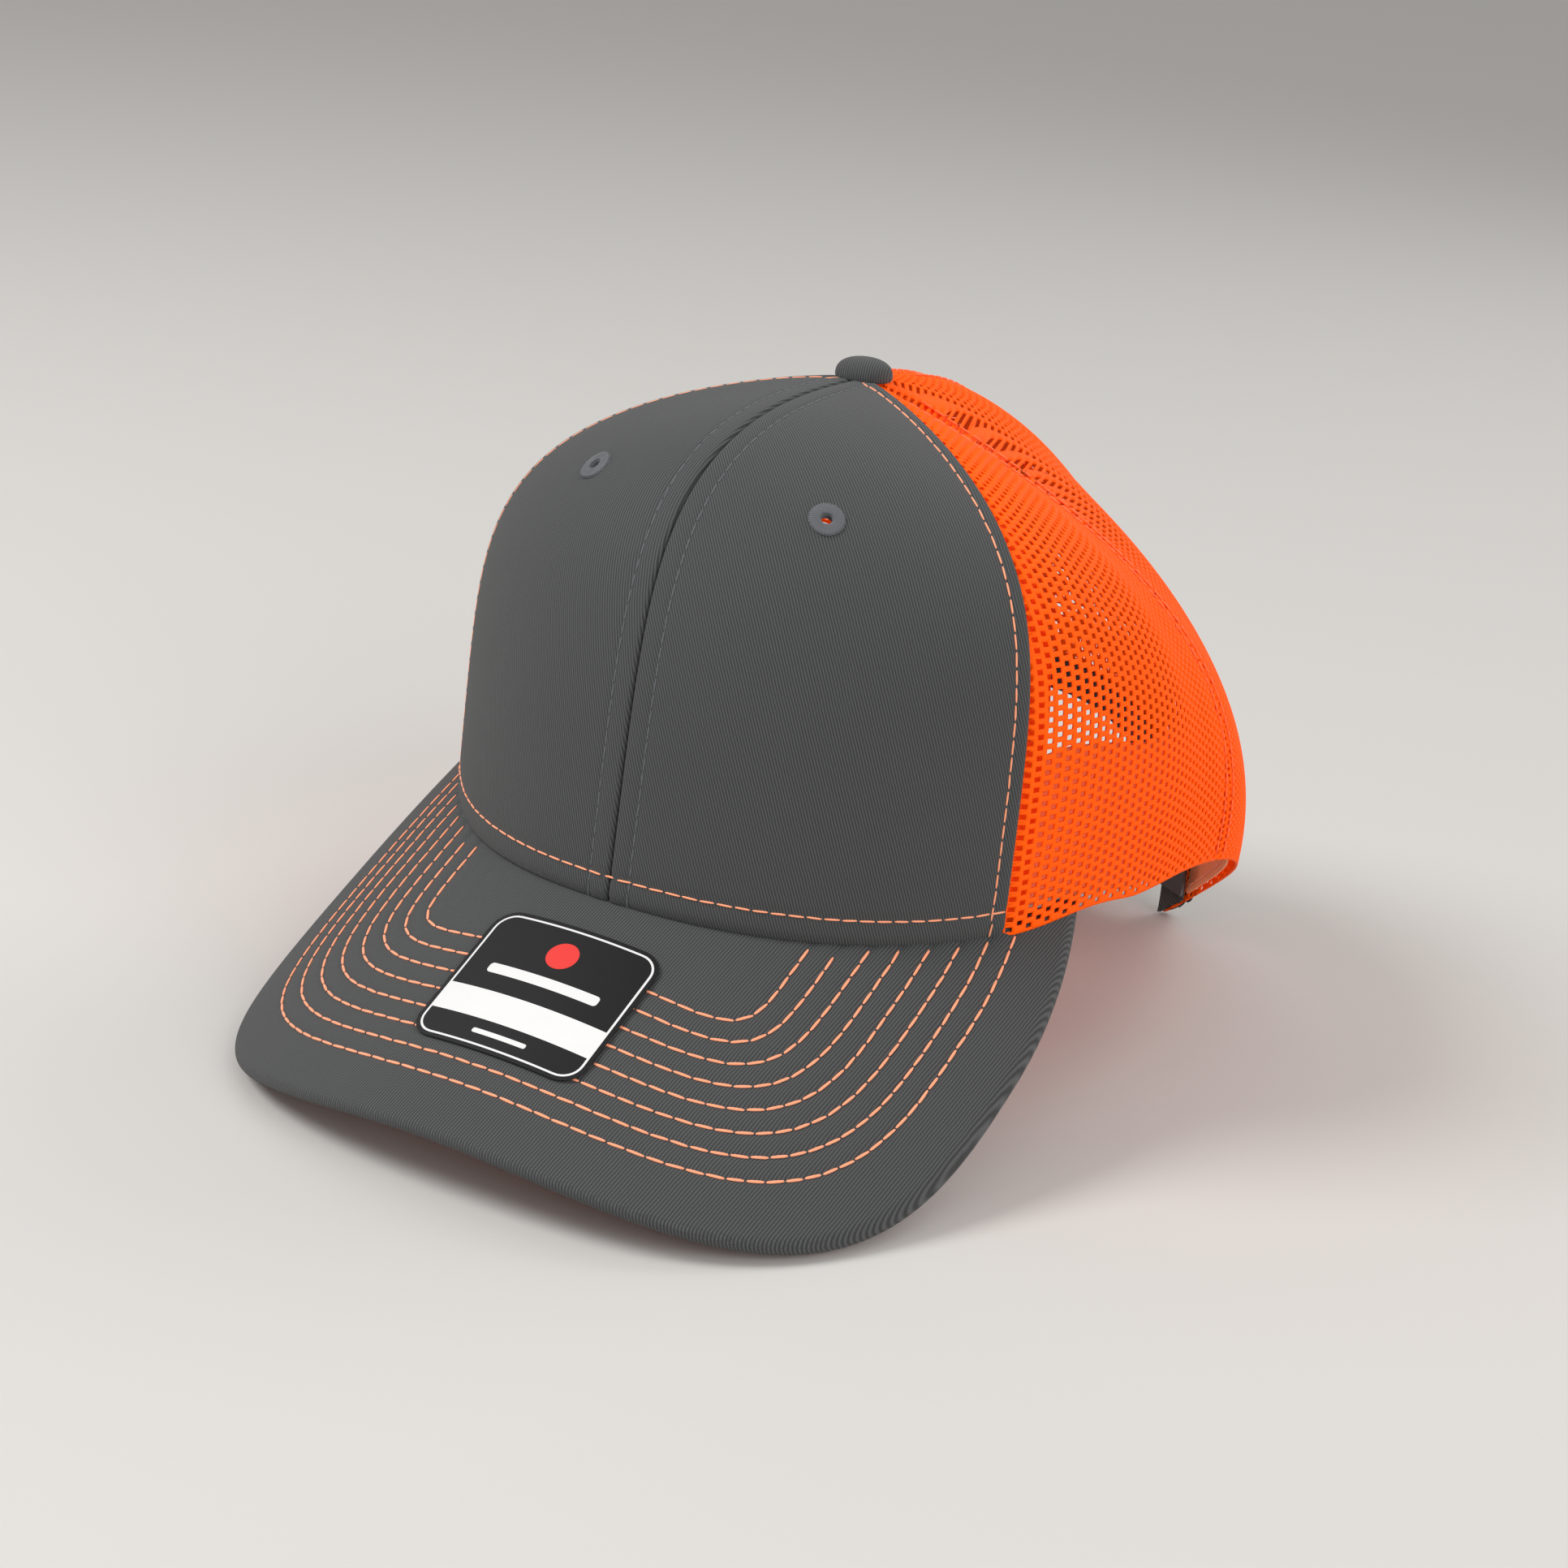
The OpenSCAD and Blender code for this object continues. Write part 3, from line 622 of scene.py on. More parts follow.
# %% Backing
BACKING_TOP = 1.15 * MM
for side, sign in SIDES:
    bm, points, cloth = crown_panel(0.4, FRONT_SEAM - 0.4, 40, 60, BACKING_TOP,
                                    lambda a, t, up, d0, d1: 0 * a)
    lay(bm, mirrored(points, sign), cloth)
    name = f"front_backing_{side}"
    add_sheet(bm, f"{name}_cloth", buckram, "backing", [name], 0.5 * MM, eyelet=(sign, 3.0 * MM),
              held="stretched")

# %% [markdown]
# ## Knitted mesh
# The mesh is the part's most telling cloth, and a picture of holes would fail at the outline and
# against the light, so the holes are real. A grid is turned into bricks that stand on end by
# dissolving every other crosswise edge, which leaves six-cornered cells with each column half a
# cell up. Each cell is inset and its inner face beveled at the corners and removed. The flat knit
# is then laid on the crown from the middle of its panel outwards, and clipped at the seams and the
# arch.

# %% Sizes of the knit
CELL_WIDE, CELL_TALL = 2.35 * MM, 2.0 * MM
BAR = 1.02 * MM
CORNER = 0.42 * MM
RIDGE = 0.16 * MM
SPARE_WIDTH = 1.10  # the flat knit is cut a tenth wider than its panel
SEAM_EDGE = 0.05  # degrees short of a seam
TOP_EDGE = 0.2 * MM
SMALLEST_HOLE = 0.5e-6
OPEN_SHARE = 0.2
ARCH_HALF, ARCH_HEIGHT, ARCH_SQUARE = 0.043, 0.050, 2.6
ARCH_ANGLE = math.degrees(math.atan2(ARCH_HALF, REAR_DEPTH * (
    1 - (ARCH_HALF / HALF_WIDTH) ** REAR_SQUARE) ** (1 / REAR_SQUARE)))


# %% The flat knit
def flat_knit(wide, long):
    columns, rows = math.ceil(wide / CELL_WIDE), math.ceil(long / CELL_TALL) * 2
    bm, u, v = flat_grid(columns, rows)
    tall = CELL_TALL / 2
    for vert, x, y in zip(bm.verts, u, v):
        vert.co = ((x - 0.5) * columns * CELL_WIDE, y * rows * tall, 0)
    crosswise = []
    for edge in bm.edges:
        p, q = (v.co for v in edge.verts)
        if abs(p.y - q.y) > tall / 4 or not tall / 2 < p.y < (rows - 0.5) * tall:
            continue
        column = round(((p.x + q.x) / 2 + wide) / CELL_WIDE - 0.5)
        if (column + round(p.y / tall)) % 2:
            crosswise.append(edge)
    bmesh.ops.dissolve_edges(bm, edges=crosswise, use_verts=False)
    return bm


def clip_to_arch(a, z):
    """Moves points out of the arch by the shorter way; says which moved."""
    back = np.clip((180 - a) / ARCH_ANGLE, 0, 1)
    edge_z = ARCH_HEIGHT * (1 - back**ARCH_SQUARE) ** (1 / ARCH_SQUARE)
    high = np.clip(z / ARCH_HEIGHT, 0, 1)
    edge_a = 180 - ARCH_ANGLE * (1 - high**ARCH_SQUARE) ** (1 / ARCH_SQUARE)
    inside = (a > edge_a) & (z < edge_z)
    sideways = (a - edge_a) * math.radians(1) * REAR_DEPTH < edge_z - z
    return (np.where(inside & sideways, edge_a, a), np.where(inside & ~sideways, edge_z, z), inside)


def knit_panel(a0, a1, arch):
    mid = (a0 + a1) / 2
    reach = round_at(mid)
    wide = 2 * max(reach - round_at(a0), round_at(a1) - reach) * SPARE_WIDTH
    long = RISE[int(a0):int(a1) + 1, -1].max() + CELL_TALL
    bm = flat_knit(wide, long)
    mid_rise = float(by_angle(np.array([mid]), np.array([2.0]), RISE)[0])

    def place(flat):
        across, up, lift = flat[:, 0], flat[:, 1], flat[:, 2]
        a = angle_across(mid, across, up)
        out = (a <= a0 + SEAM_EDGE) | (a >= a1 - SEAM_EDGE)
        a = np.clip(a, a0 + SEAM_EDGE, a1 - SEAM_EDGE)
        # Rows are spaced as a share of each meridian, so they don't shear towards the button
        meridian = by_angle(a, np.full_like(a, 2.0), RISE)
        risen = up * meridian / mid_rise
        t = t_at(a, risen)
        over = risen >= meridian - TOP_EDGE
        if arch:
            a2, z2, inside = clip_to_arch(a, crown_at(a, t)[:, 2])
            moved = wall_point(a2, z2)
            t = np.where(inside, t_at(a2, up_of_height(a2, moved[:, 2])), t)
            a, out = a2, out | inside
        here, normal = normals_of(a, t)
        d = np.minimum(seam_distance(a, t, a0), -seam_distance(a, t, a1))
        sway = 0.28 * MM * (1 + np.sin(a * 0.23 + t * 1.3)) * smooth(d / FADE)
        sway = sway * smooth(t / 0.3) * smooth((2 - t) / 0.8)
        turn = -0.75 * MM * dip(d, 0.8 * MM)
        return here + normal * (lift + sway + turn)[:, None], out | over

    flat = np.array([v.co for v in bm.verts])
    _, out = place(flat)
    bm.verts.index_update()
    gone = [f for f in bm.faces if all(out[v.index] for v in f.verts)]
    bmesh.ops.delete(bm, geom=gone, context="FACES")
    cells = bm.faces[:]
    area = sum(f.calc_area() for f in cells)
    ring = set(bmesh.ops.inset_individual(bm, faces=cells, thickness=BAR / 2, depth=-RIDGE,
                                          use_even_offset=True)["faces"])
    inner = [f for f in bm.faces if f not in ring]
    corners = [c.vert for f in inner for c in f.loops if c.calc_angle() < 2.6]
    bmesh.ops.bevel(bm, geom=corners, offset=CORNER, offset_type="OFFSET", affect="VERTICES",
                    segments=1, profile=0.5, material=-1, clamp_overlap=True)
    return bm, place, area


def up_of_height(a, z):
    """Distance up from the hem of the wall's point at height z."""
    p, q, z0 = around(PLAN_POWER, a), around(RISE_POWER, a), hem_height(a)
    eta = np.clip((z - z0) / (CROWN_HEIGHT - z0), 0, 1)
    t = eta / (math.sin(math.pi / 4) ** q)
    return up_at(a, np.clip(t, 0, 1))


def narrowest(points):
    """The spread of a hole's corners across its narrow direction."""
    return np.linalg.svd(points - points.mean(axis=0), compute_uv=False)[1]


def still_open(hole, laid):
    """Near the button the cells are pulled into slits, and there the real knit closes."""
    flat = np.array([v.co for v in hole.verts])
    return narrowest(laid[[v.index for v in hole.verts]]) > OPEN_SHARE * narrowest(flat)


def make_knit(name, sign, a0, a1, arch):
    bm, place, area = knit_panel(a0, a1, arch)
    bm.verts.index_update()
    laid, _ = place(np.array([v.co for v in bm.verts]))
    holes = [f for f in bm.faces if f.calc_area() > SMALLEST_HOLE and all(
        abs(v.co.z + RIDGE) < 1e-6 for v in f.verts)]
    cells = len(holes)
    holes = [f for f in holes if still_open(f, laid)]
    print(f"{name}: {len(holes)} open of {cells} cells")
    bmesh.ops.delete(bm, geom=holes, context="FACES")
    flat = np.array([v.co for v in bm.verts])
    points, _ = place(flat)
    lay(bm, mirrored(points, sign), flat[:, :2] * np.array([sign, 1.0]))
    bmesh.ops.dissolve_degenerate(bm, dist=0.02 * MM, edges=bm.edges[:])
    piece = add_piece(bm, f"{name}_knit", mesh_knit, [name], 0.5 * MM)


for side, sign in SIDES:
    make_knit(f"side_mesh_{side}", sign, FRONT_SEAM, SIDE_SEAM, False)
    make_knit(f"rear_mesh_{side}", sign, SIDE_SEAM, 180.0, True)

# %% [markdown]
# ## Thread
# Sewing shows as short raised dashes, not as a line: each stitch rises out of the cloth, lies on
# it, and dives back in. One low-poly grain, round in section and blunt at its ends, is made once
# and copied along every row, turned to the row's direction and the cloth's outward direction.

# %% One stitch, and a row of them
def stitch_grain():
    bm = bmesh.new()
    bmesh.ops.create_uvsphere(bm, u_segments=6, v_segments=6, radius=1)
    for vert in bm.verts:
        blunt = math.copysign(abs(vert.co.z) ** 0.8, vert.co.z)
        wide = math.hypot(vert.co.x, vert.co.y)
        grow = (wide**0.55) / wide if wide > 1e-6 else 0
        vert.co = (vert.co.x * grow, vert.co.y * grow, blunt)
    return mesh_from(bm, "stitch_grain")


GRAIN = stitch_grain()
chance = random.Random(11)


def add_stitch(bm, middle, along, out, length, width, height):
    along = Vector(along).normalized()
    side = along.cross(Vector(out)).normalized()
    out = side.cross(along)
    start = len(bm.verts)
    bm.from_mesh(GRAIN)
    bm.verts.ensure_lookup_table()
    place = Matrix((side * width / 2, out * height / 2, along * length / 2)).transposed().to_4x4()
    place.translation = middle
    bmesh.ops.transform(bm, matrix=place, verts=bm.verts[start:])


def stitch_row(bm, points, outs, pitch=3.6 * MM, gap=0.35 * MM, width=0.52 * MM, height=0.42 * MM,
               lift=0.08 * MM, sign=1.0):
    """Lays stitches along a row of points; outs are the cloth's outward directions there."""
    points, outs = mirrored(points, sign), mirrored(outs, sign)
    run = run_along(points)
    count = max(int(run[-1] / pitch), 1)
    step = run[-1] / count

    def at(s, table):
        return np.array([np.interp(s, run, table[:, k]) for k in range(3)])

    for k in range(count):
        s = (k + 0.5) * step
        middle, out = at(s, points), at(s, outs)
        along = at(min(s + step / 3, run[-1]), points) - at(max(s - step / 3, 0), points)
        along = along + np.cross(out, along) * chance.uniform(-0.05, 0.05)
        length = (step - gap) * chance.uniform(0.95, 1.03)
        add_stitch(bm, Vector(middle + out * lift), along, out, length, width, height)
    return count


def thread_piece(bm, name, material, replaces=()):
    return add_piece(bm, name, material, replaces, centre=None)


# %% [markdown]
# ## Stitch rows on the crown
# A tonal row runs on each side of the centre seam. Beside each side seam is a contrast row on the
# twill, and one contrast row crosses the front panels above the visor. The rows follow the same
# relief as the cloth, so they sit in the dips that they make.

# %% Rows on the crown
def relief_points(a, t):
    """Points and outward directions on the twill, relief included."""
    up = up_at(a, t)
    here, out = normals_of(a, t)
    lift = twill_relief(a, t, up, seam_distance(a, t, 0.0), -seam_distance(a, t, FRONT_SEAM))
    return here + out * lift[:, None], out


def beside_seam(seam, aside, t):
    """The angle at a distance aside from a seam."""
    wide = np.maximum(narrowing(np.full_like(t, seam), t), 0.02)
    return np.interp(round_at(seam) + aside / wide, ROUND, TABLE_A)


BUTTON_RADIUS, BUTTON_HEIGHT = 6.0 * MM, 3.8 * MM
T_BUTTON = 1.95
row_t = np.linspace(0.006, T_BUTTON, 240)

bm = bmesh.new()
for _, sign in SIDES:
    stitch_row(bm, *relief_points(beside_seam(0.0, CENTRE_ASIDE, row_t), row_t), pitch=3.0 * MM,
               width=0.34 * MM, height=0.3 * MM, lift=0.04 * MM, sign=sign)
thread_piece(bm, "centre_topstitch_thread", tonal, ["centre_topstitch"])

bm = bmesh.new()
for _, sign in SIDES:
    stitch_row(bm, *relief_points(beside_seam(FRONT_SEAM, -SIDE_ASIDE, row_t), row_t),
               pitch=3.3 * MM, width=0.44 * MM, height=0.40 * MM, sign=sign)
thread_piece(bm, "side_topstitch_thread", contrast, ["side_topstitch"])

bm = bmesh.new()
base_a = np.linspace(0.3, FRONT_SEAM - 0.4, 160)
base_t = t_at(base_a, np.full_like(base_a, BASE_RISE))
points, outs = relief_points(base_a, base_t)
points = np.concatenate([mirrored(points[::-1], -1), points])
outs = np.concatenate([mirrored(outs[::-1], -1), outs])
stitch_row(bm, points, outs, pitch=3.4 * MM, width=0.46 * MM, height=0.42 * MM)
thread_piece(bm, "base_topstitch_thread", contrast, ["base_topstitch"])

# %% [markdown]
# ## Seam tapes
# Inside, every seam is covered by a woven tape, sewn down on both edges. Through the mesh it shows
# as a solid orange band beside the seam. A tape is a narrow grid laid along the meridian, with two
# rows of its own stitches.

# %% Tapes
TAPE_WIDTH, T_TAPE = 12 * MM, 1.86


def tape_piece(name, seam, inset, sides, t_from=0.0):
    bm, u, v = flat_grid(10, 90)
    across, t = (u - 0.5) * TAPE_WIDTH, t_from + (T_TAPE - t_from) * v
    if seam in (0.0, 180.0):
        turn = 1 if seam == 0.0 else -1
        a = beside_seam(seam, turn * np.abs(across), t)
        points = mirrored(crown_at(a, t, inset), np.where(across < 0, -1.0, 1.0))
    else:
        a = beside_seam(seam, across, t)
        points = crown_at(a, t, inset)
    up = up_at(np.full_like(t, min(seam, 179.9)), t)
    for side, sign in sides:
        made = bm.copy()
        lay(made, mirrored(points, sign), np.stack([across, up], -1))
        full = f"{name}_{side}" if side else name
        add_sheet(made, f"{full}_woven", seam_tape, "tape", [full], 0.45 * MM, held="stretched")
    bm.free()


FRONT_TAPE_TOP, MESH_TAPE_TOP = 2.05 * MM, 1.25 * MM
# The rear tape and the rear seam's stitches start a little above the arch
TAPE_ABOVE_ARCH = 10 * MM
_rear_hem = float(hem_height(179.9))
T_ARCH = (ARCH_HEIGHT + TAPE_ABOVE_ARCH - _rear_hem) / (CROWN_HEIGHT - _rear_hem) / (
    math.sin(math.pi / 4) ** RISE_POWER[3])
tape_piece("centre_seam_tape", 0.0, FRONT_TAPE_TOP, (("", 1.0),))
tape_piece("front_seam_tape", FRONT_SEAM, FRONT_TAPE_TOP, SIDES)
tape_piece("side_seam_tape", SIDE_SEAM, MESH_TAPE_TOP, SIDES)
tape_piece("rear_seam_tape", 180.0, MESH_TAPE_TOP, (("", 1.0),), T_ARCH)

bm = bmesh.new()
for _, sign in SIDES:
    for seam, aside in ((SIDE_SEAM, 3.0), (SIDE_SEAM, -3.0), (179.99, -3.0)):
        t = np.linspace(T_ARCH if seam > 170 else 0.02, T_TAPE, 200)
        a = beside_seam(seam, aside * MM, t)
        here, out = normals_of(a, t)
        stitch_row(bm, here, out, pitch=3.2 * MM, width=0.5 * MM, height=0.5 * MM,
                   lift=0.12 * MM, sign=sign)
thread_piece(bm, "mesh_seam_thread", mesh_thread)

# %% [markdown]
# ## Eyelets
# An eyelet is a hole worked round with close radial stitches. The same stitch grain is laid like
# spokes over a soft ring, with a little unevenness in length, which is what makes it read as
# embroidery and not as a metal grommet.

# %% Eyelets
SPOKES = 46


def spin_round(bm, line, steps):
    """Turns a line of points, each a radius and a height, all the way round into a surface."""
    section = [bm.verts.new((r, 0, z)) for r, z in line]
    edges = [bm.edges.new(pair) for pair in zip(section, section[1:])]
    bmesh.ops.spin(bm, geom=section + edges, cent=(0, 0, 0), axis=(0, 0, 1), angle=2 * math.pi,
                   steps=steps, use_merge=True)


def make_eyelet(name, sign):
    middle = flipped(EYELET, sign)
    turn = flipped(EYELET_OUT, sign).to_track_quat("Z", "Y").to_matrix()
    bm = bmesh.new()
    ring = ((1.3, -1.9), (1.1, -0.1), (1.8, 0.15), (3.2, 0.1), (3.6, -0.3))
    spin_round(bm, [(r * MM, z * MM) for r, z in ring], 28)
    bmesh.ops.recalc_face_normals(bm, faces=bm.faces[:])
    for k in range(SPOKES):
        q = 2 * math.pi * k / SPOKES
        spoke = Vector((math.cos(q), math.sin(q), -0.05))
        long = 2.5 * MM * chance.uniform(0.92, 1.06)
        add_stitch(bm, spoke * 2.42 * MM + Vector((0, 0, 0.14 * MM)), spoke, (0, 0, 1),
                   long, 0.36 * MM, 0.42 * MM)
    bmesh.ops.rotate(bm, cent=(0, 0, 0), matrix=turn, verts=bm.verts[:])
    bmesh.ops.translate(bm, vec=middle, verts=bm.verts[:])
    thread_piece(bm, f"{name}_embroidery", tonal, [name])


for side, sign in SIDES:
    make_eyelet(f"eyelet_{side}", sign)

# %% [markdown]
# ## Button
# The button on top is a pressed shell covered with the front's twill. Its cloth is drawn tight
# over a low dome and turns under at the rim, so it is one spun profile that curls in below.

# %% Button
BUTTON_PLACE = Vector((0, -TOP_AHEAD, CROWN_HEIGHT + 0.3 * MM))


def make_button():
    bm = bmesh.new()
    steps = 14
    turns = [math.pi / 2 * (1 - k / steps) for k in range(steps + 1)]
    line = [(BUTTON_RADIUS * math.cos(q) ** 0.85, BUTTON_HEIGHT * math.sin(q) ** 0.8)
            for q in turns]
    line += [(BUTTON_RADIUS * r, z * MM) for r, z in ((0.985, -0.35), (0.93, -0.62), (0.85, -0.7))]
    spin_round(bm, line, 64)
    bmesh.ops.remove_doubles(bm, verts=bm.verts[:], dist=1e-5)
    bm.verts.index_update()
    flat = np.array([(v.co.x, v.co.y) for v in bm.verts])
    points = np.array([v.co for v in bm.verts]) + np.array(BUTTON_PLACE)
    lay(bm, points, flat * 1.15)
    piece = add_piece(bm, "button_cover_cloth", twill, ["button_cover"], 0.6 * MM,
                      centre=BUTTON_PLACE)


make_button()

# %% [markdown]
# ## Visor covers
# The visor is one board bent round a cylinder and tilted down, between two pieces of twill. The
# top piece also turns round the edge, which makes the soft roll at the rim. Its grid runs from the
# crown's base curve out to the rim, with fine rows, because every stitch row draws the cloth down
# into a shallow groove. How far a point is inside the rim is found by halving, on the same family
# of outlines that places the rows.

# %% The visor's outline and its bent surface
def corner_power(inset):
    middle = (VISOR_HALF + VISOR_LENGTH + VISOR_BACK) / 2
    corner = middle * 2 ** (-1 / VISOR_SQUARE) - inset * math.sqrt(0.5)
    return math.log(0.5) / np.log(corner / (middle - inset))


def outline(s, inset):
    """The visor's edge, a distance inside its rim: u across the curve, v forwards."""
    c, d = np.cos(np.radians(s)), np.sin(np.radians(s))
    h, k = VISOR_HALF - inset, 2 / corner_power(inset)
    u = np.where(d >= 0, np.sign(c) * h * np.abs(c) ** k, h * c)
    ahead = (VISOR_LENGTH + VISOR_BACK - inset) * np.abs(d) ** k
    return u, np.where(d >= 0, ahead, d * VISOR_REAR) - VISOR_BACK


def on_visor(u, v, lift=0.0):
    """A point over the visor, lifted off its upper face."""
    x = VISOR_BEND * np.sin(u / VISOR_BEND)
    z = np.sqrt((VISOR_BEND + lift) ** 2 - x * x) - VISOR_BEND
    c, s = math.cos(VISOR_TILT), math.sin(VISOR_TILT)
    return np.stack([x, -FRONT_DEPTH - v * c - z * s, VISOR_HEIGHT - v * s + z * c], -1)


def visor_out(u):
    c, s = math.cos(VISOR_TILT), math.sin(VISOR_TILT)
    x, z = np.sin(u / VISOR_BEND), np.cos(u / VISOR_BEND)
    return np.stack([x, -z * s, z * c], -1)


def on_crown_base(a, inset):
    """The crown's plan curve, measured over the visor."""
    r, q = plan_radius(a, inset), np.radians(a)
    x, y = r * np.sin(q), -r * np.cos(q)
    back = (y + FRONT_DEPTH - sag(x) * math.sin(VISOR_TILT)) / math.cos(VISOR_TILT)
    return VISOR_BEND * np.arcsin(x / VISOR_BEND), -back


def outside_crown(points, inset):
    a = np.degrees(np.arctan2(points[:, 0], -points[:, 1]))
    return np.hypot(points[:, 0], points[:, 1]) - plan_radius(a, inset)


def evenly(values, points, count):
    """Values picked so that their points are evenly spaced."""
    run = run_along(points)
    return np.interp(np.linspace(0, run[-1], count), run, values)


_s = np.linspace(-60, 90, 1501)
_clear = outside_crown(on_visor(*outline(_s, 0.0)), VISOR_REACH) > 0
S_TIP = float(_s[np.argmax(_clear)])
_tip = on_visor(*outline(np.array([S_TIP]), 0.0))[0]
A_TIP = math.degrees(math.atan2(_tip[0], -_tip[1]))
print("visor tips: outline angle", round(S_TIP, 2), "crown angle", round(A_TIP, 2))


def inset_at(u, v):
    """Distance inside the rim, found by halving."""
    low, high = np.zeros_like(u), np.full_like(u, 0.058)
    ahead = v + VISOR_BACK
    for _ in range(26):
        mid = (low + high) / 2
        p, h = corner_power(mid), VISOR_HALF - mid
        reach = VISOR_LENGTH + VISOR_BACK - mid
        front = (np.abs(u) / h) ** p + (np.maximum(ahead, 0) / reach) ** p
        behind = (np.abs(u) / h) ** 2 + (ahead / VISOR_REAR) ** 2
        inside = np.where(ahead > 0, front, behind) < 1
        low, high = np.where(inside, mid, low), np.where(inside, high, mid)
    return low


def row_groove(u, v):
    inset, groove = inset_at(u, v), np.zeros_like(u)
    for k in range(ROWS):
        groove += dip(inset - FIRST_ROW - k * ROW_PITCH - ROW_HALF, 0.75 * MM)
    pillow = 0.5 - 0.5 * np.cos(2 * math.pi * (inset - FIRST_ROW - ROW_HALF) / ROW_PITCH)
    raised = np.where(inset > FIRST_ROW, 0.10 * MM * pillow, 0.06 * MM * smooth(inset / FIRST_ROW))
    return raised - 0.22 * MM * groove


# %% Visor covers
EDGE = VISOR_THICK / 2
_all = np.linspace(S_TIP, 180 - S_TIP, 3001)
COLUMNS, FLAT_ROWS, ROLL_ROWS = 300, 120, 14
BELOW_VISOR, ABOVE_VISOR = Vector((0, -0.11, -0.15)), Vector((0, -0.11, 0.25))
VISOR_S = evenly(_all, on_visor(*outline(_all, 0.0)), COLUMNS + 1)
_turn = np.linspace(A_TIP, -A_TIP, 2001)
VISOR_A = evenly(_turn, np.stack(on_crown_base(_turn, VISOR_REACH), -1), COLUMNS + 1)


def visor_cover(name, top, replaces):
    roll = ROLL_ROWS if top else 0
    bm, gu, gv = flat_grid(COLUMNS, FLAT_ROWS + roll)
    column = np.rint(gu * COLUMNS).astype(int)
    row = np.rint(gv * (FLAT_ROWS + roll)).astype(int)
    s, a = VISOR_S[column], VISOR_A[column]
    w = np.clip(row / FLAT_ROWS, 0, 1)
    turn = math.pi * 0.97 * np.clip((row - FLAT_ROWS) / ROLL_ROWS, 0, 1)
    edge_in = EDGE * (1 - np.sin(turn)) + 0.08 * MM * dip(turn - 2.3, 0.25)
    depth = EDGE * (1 - np.cos(turn))
    back_u, back_v = on_crown_base(a, VISOR_REACH)
    rim_u, rim_v = outline(s, EDGE)
    out_u, out_v = outline(s, 0.0)
    share = edge_in / EDGE
    edge_u, edge_v = out_u + (rim_u - out_u) * share, out_v + (rim_v - out_v) * share
    u = np.where(row <= FLAT_ROWS, back_u + (rim_u - back_u) * w, edge_u)
    v = np.where(row <= FLAT_ROWS, back_v + (rim_v - back_v) * w, edge_v)
    relief = row_groove(u, v)
    lift = relief * (row < FLAT_ROWS) - depth if top else -VISOR_THICK - relief
    cloth = np.stack([u, v - depth * (row > FLAT_ROWS) * 1.5], -1)
    lay(bm, on_visor(u, v, lift), cloth)
    add_sheet(bm, name, visor_twill, "twill", replaces, 0.5 * MM,
              centre=BELOW_VISOR if top else ABOVE_VISOR, held="stretched",
              rests_on=["visor_board"])


visor_cover("visor_top_cover_cloth", True, ["visor_top_cover"])
visor_cover("visor_under_cover_cloth", False, ["visor_under_cover"])

# %% [markdown]
# ## Visor stitching
# Eight rows hold the covers to the board, each a constant distance inside the next. They end where
# the crown covers them. The same rows show underneath, where the needle comes through.

# %% Visor rows
bm = bmesh.new()
made = 0
for k in range(ROWS):
    u, v = outline(_all, FIRST_ROW + k * ROW_PITCH + ROW_HALF)
    clear = outside_crown(on_visor(u, v), 0.2 * MM) > 0
    u, v = u[clear], v[clear]
    made += stitch_row(bm, on_visor(u, v, -0.14 * MM), visor_out(u), pitch=3.72 * MM,
                       gap=0.2 * MM, width=0.62 * MM, height=0.46 * MM, lift=0.1 * MM)
    stitch_row(bm, on_visor(u, v, -VISOR_THICK + 0.14 * MM), -visor_out(u), pitch=3.72 * MM,
               width=0.5 * MM, height=0.4 * MM, lift=0.08 * MM)
thread_piece(bm, "visor_stitching_thread", contrast, ["visor_stitching"])
print("stitches on top of the visor:", made)

# %% [markdown]
# ## Visor sticker
# A die-cut label lies on the stitches. It is plain: a black ground, a thin light frame, one light
# band, two bars and a dot. The rings are insets of one rounded square, and cuts across it let it
# bend with the visor.

# %% Sticker
STICKER_WIDE, STICKER_LONG, STICKER_MID, STICKER_CORNER = 38 * MM, 34 * MM, 24.5 * MM, 5 * MM
STICKER_LIFT = 0.72 * MM
BLACK, WHITE, RED = 0, 1, 2


def rounded_plate(wide, long, corner, mid):
    bm = bmesh.new()
    bmesh.ops.create_grid(bm, x_segments=1, y_segments=1, size=0.5)
    bmesh.ops.scale(bm, vec=(wide, long, 1), verts=bm.verts[:])
    bmesh.ops.bevel(bm, geom=bm.verts[:], offset=corner, offset_type="OFFSET", affect="VERTICES",
                    segments=8, profile=0.5, material=-1)
    bmesh.ops.translate(bm, vec=(*mid, 0), verts=bm.verts[:])
    return bm


def cut_across(bm, axis, places):
    for place in places:
        point, normal = [0, 0, 0], [0, 0, 0]
        point[axis], normal[axis] = place, 1
        bmesh.ops.bisect_plane(bm, geom=bm.verts[:] + bm.edges[:] + bm.faces[:], plane_co=point,
                               plane_no=normal, dist=1e-7)


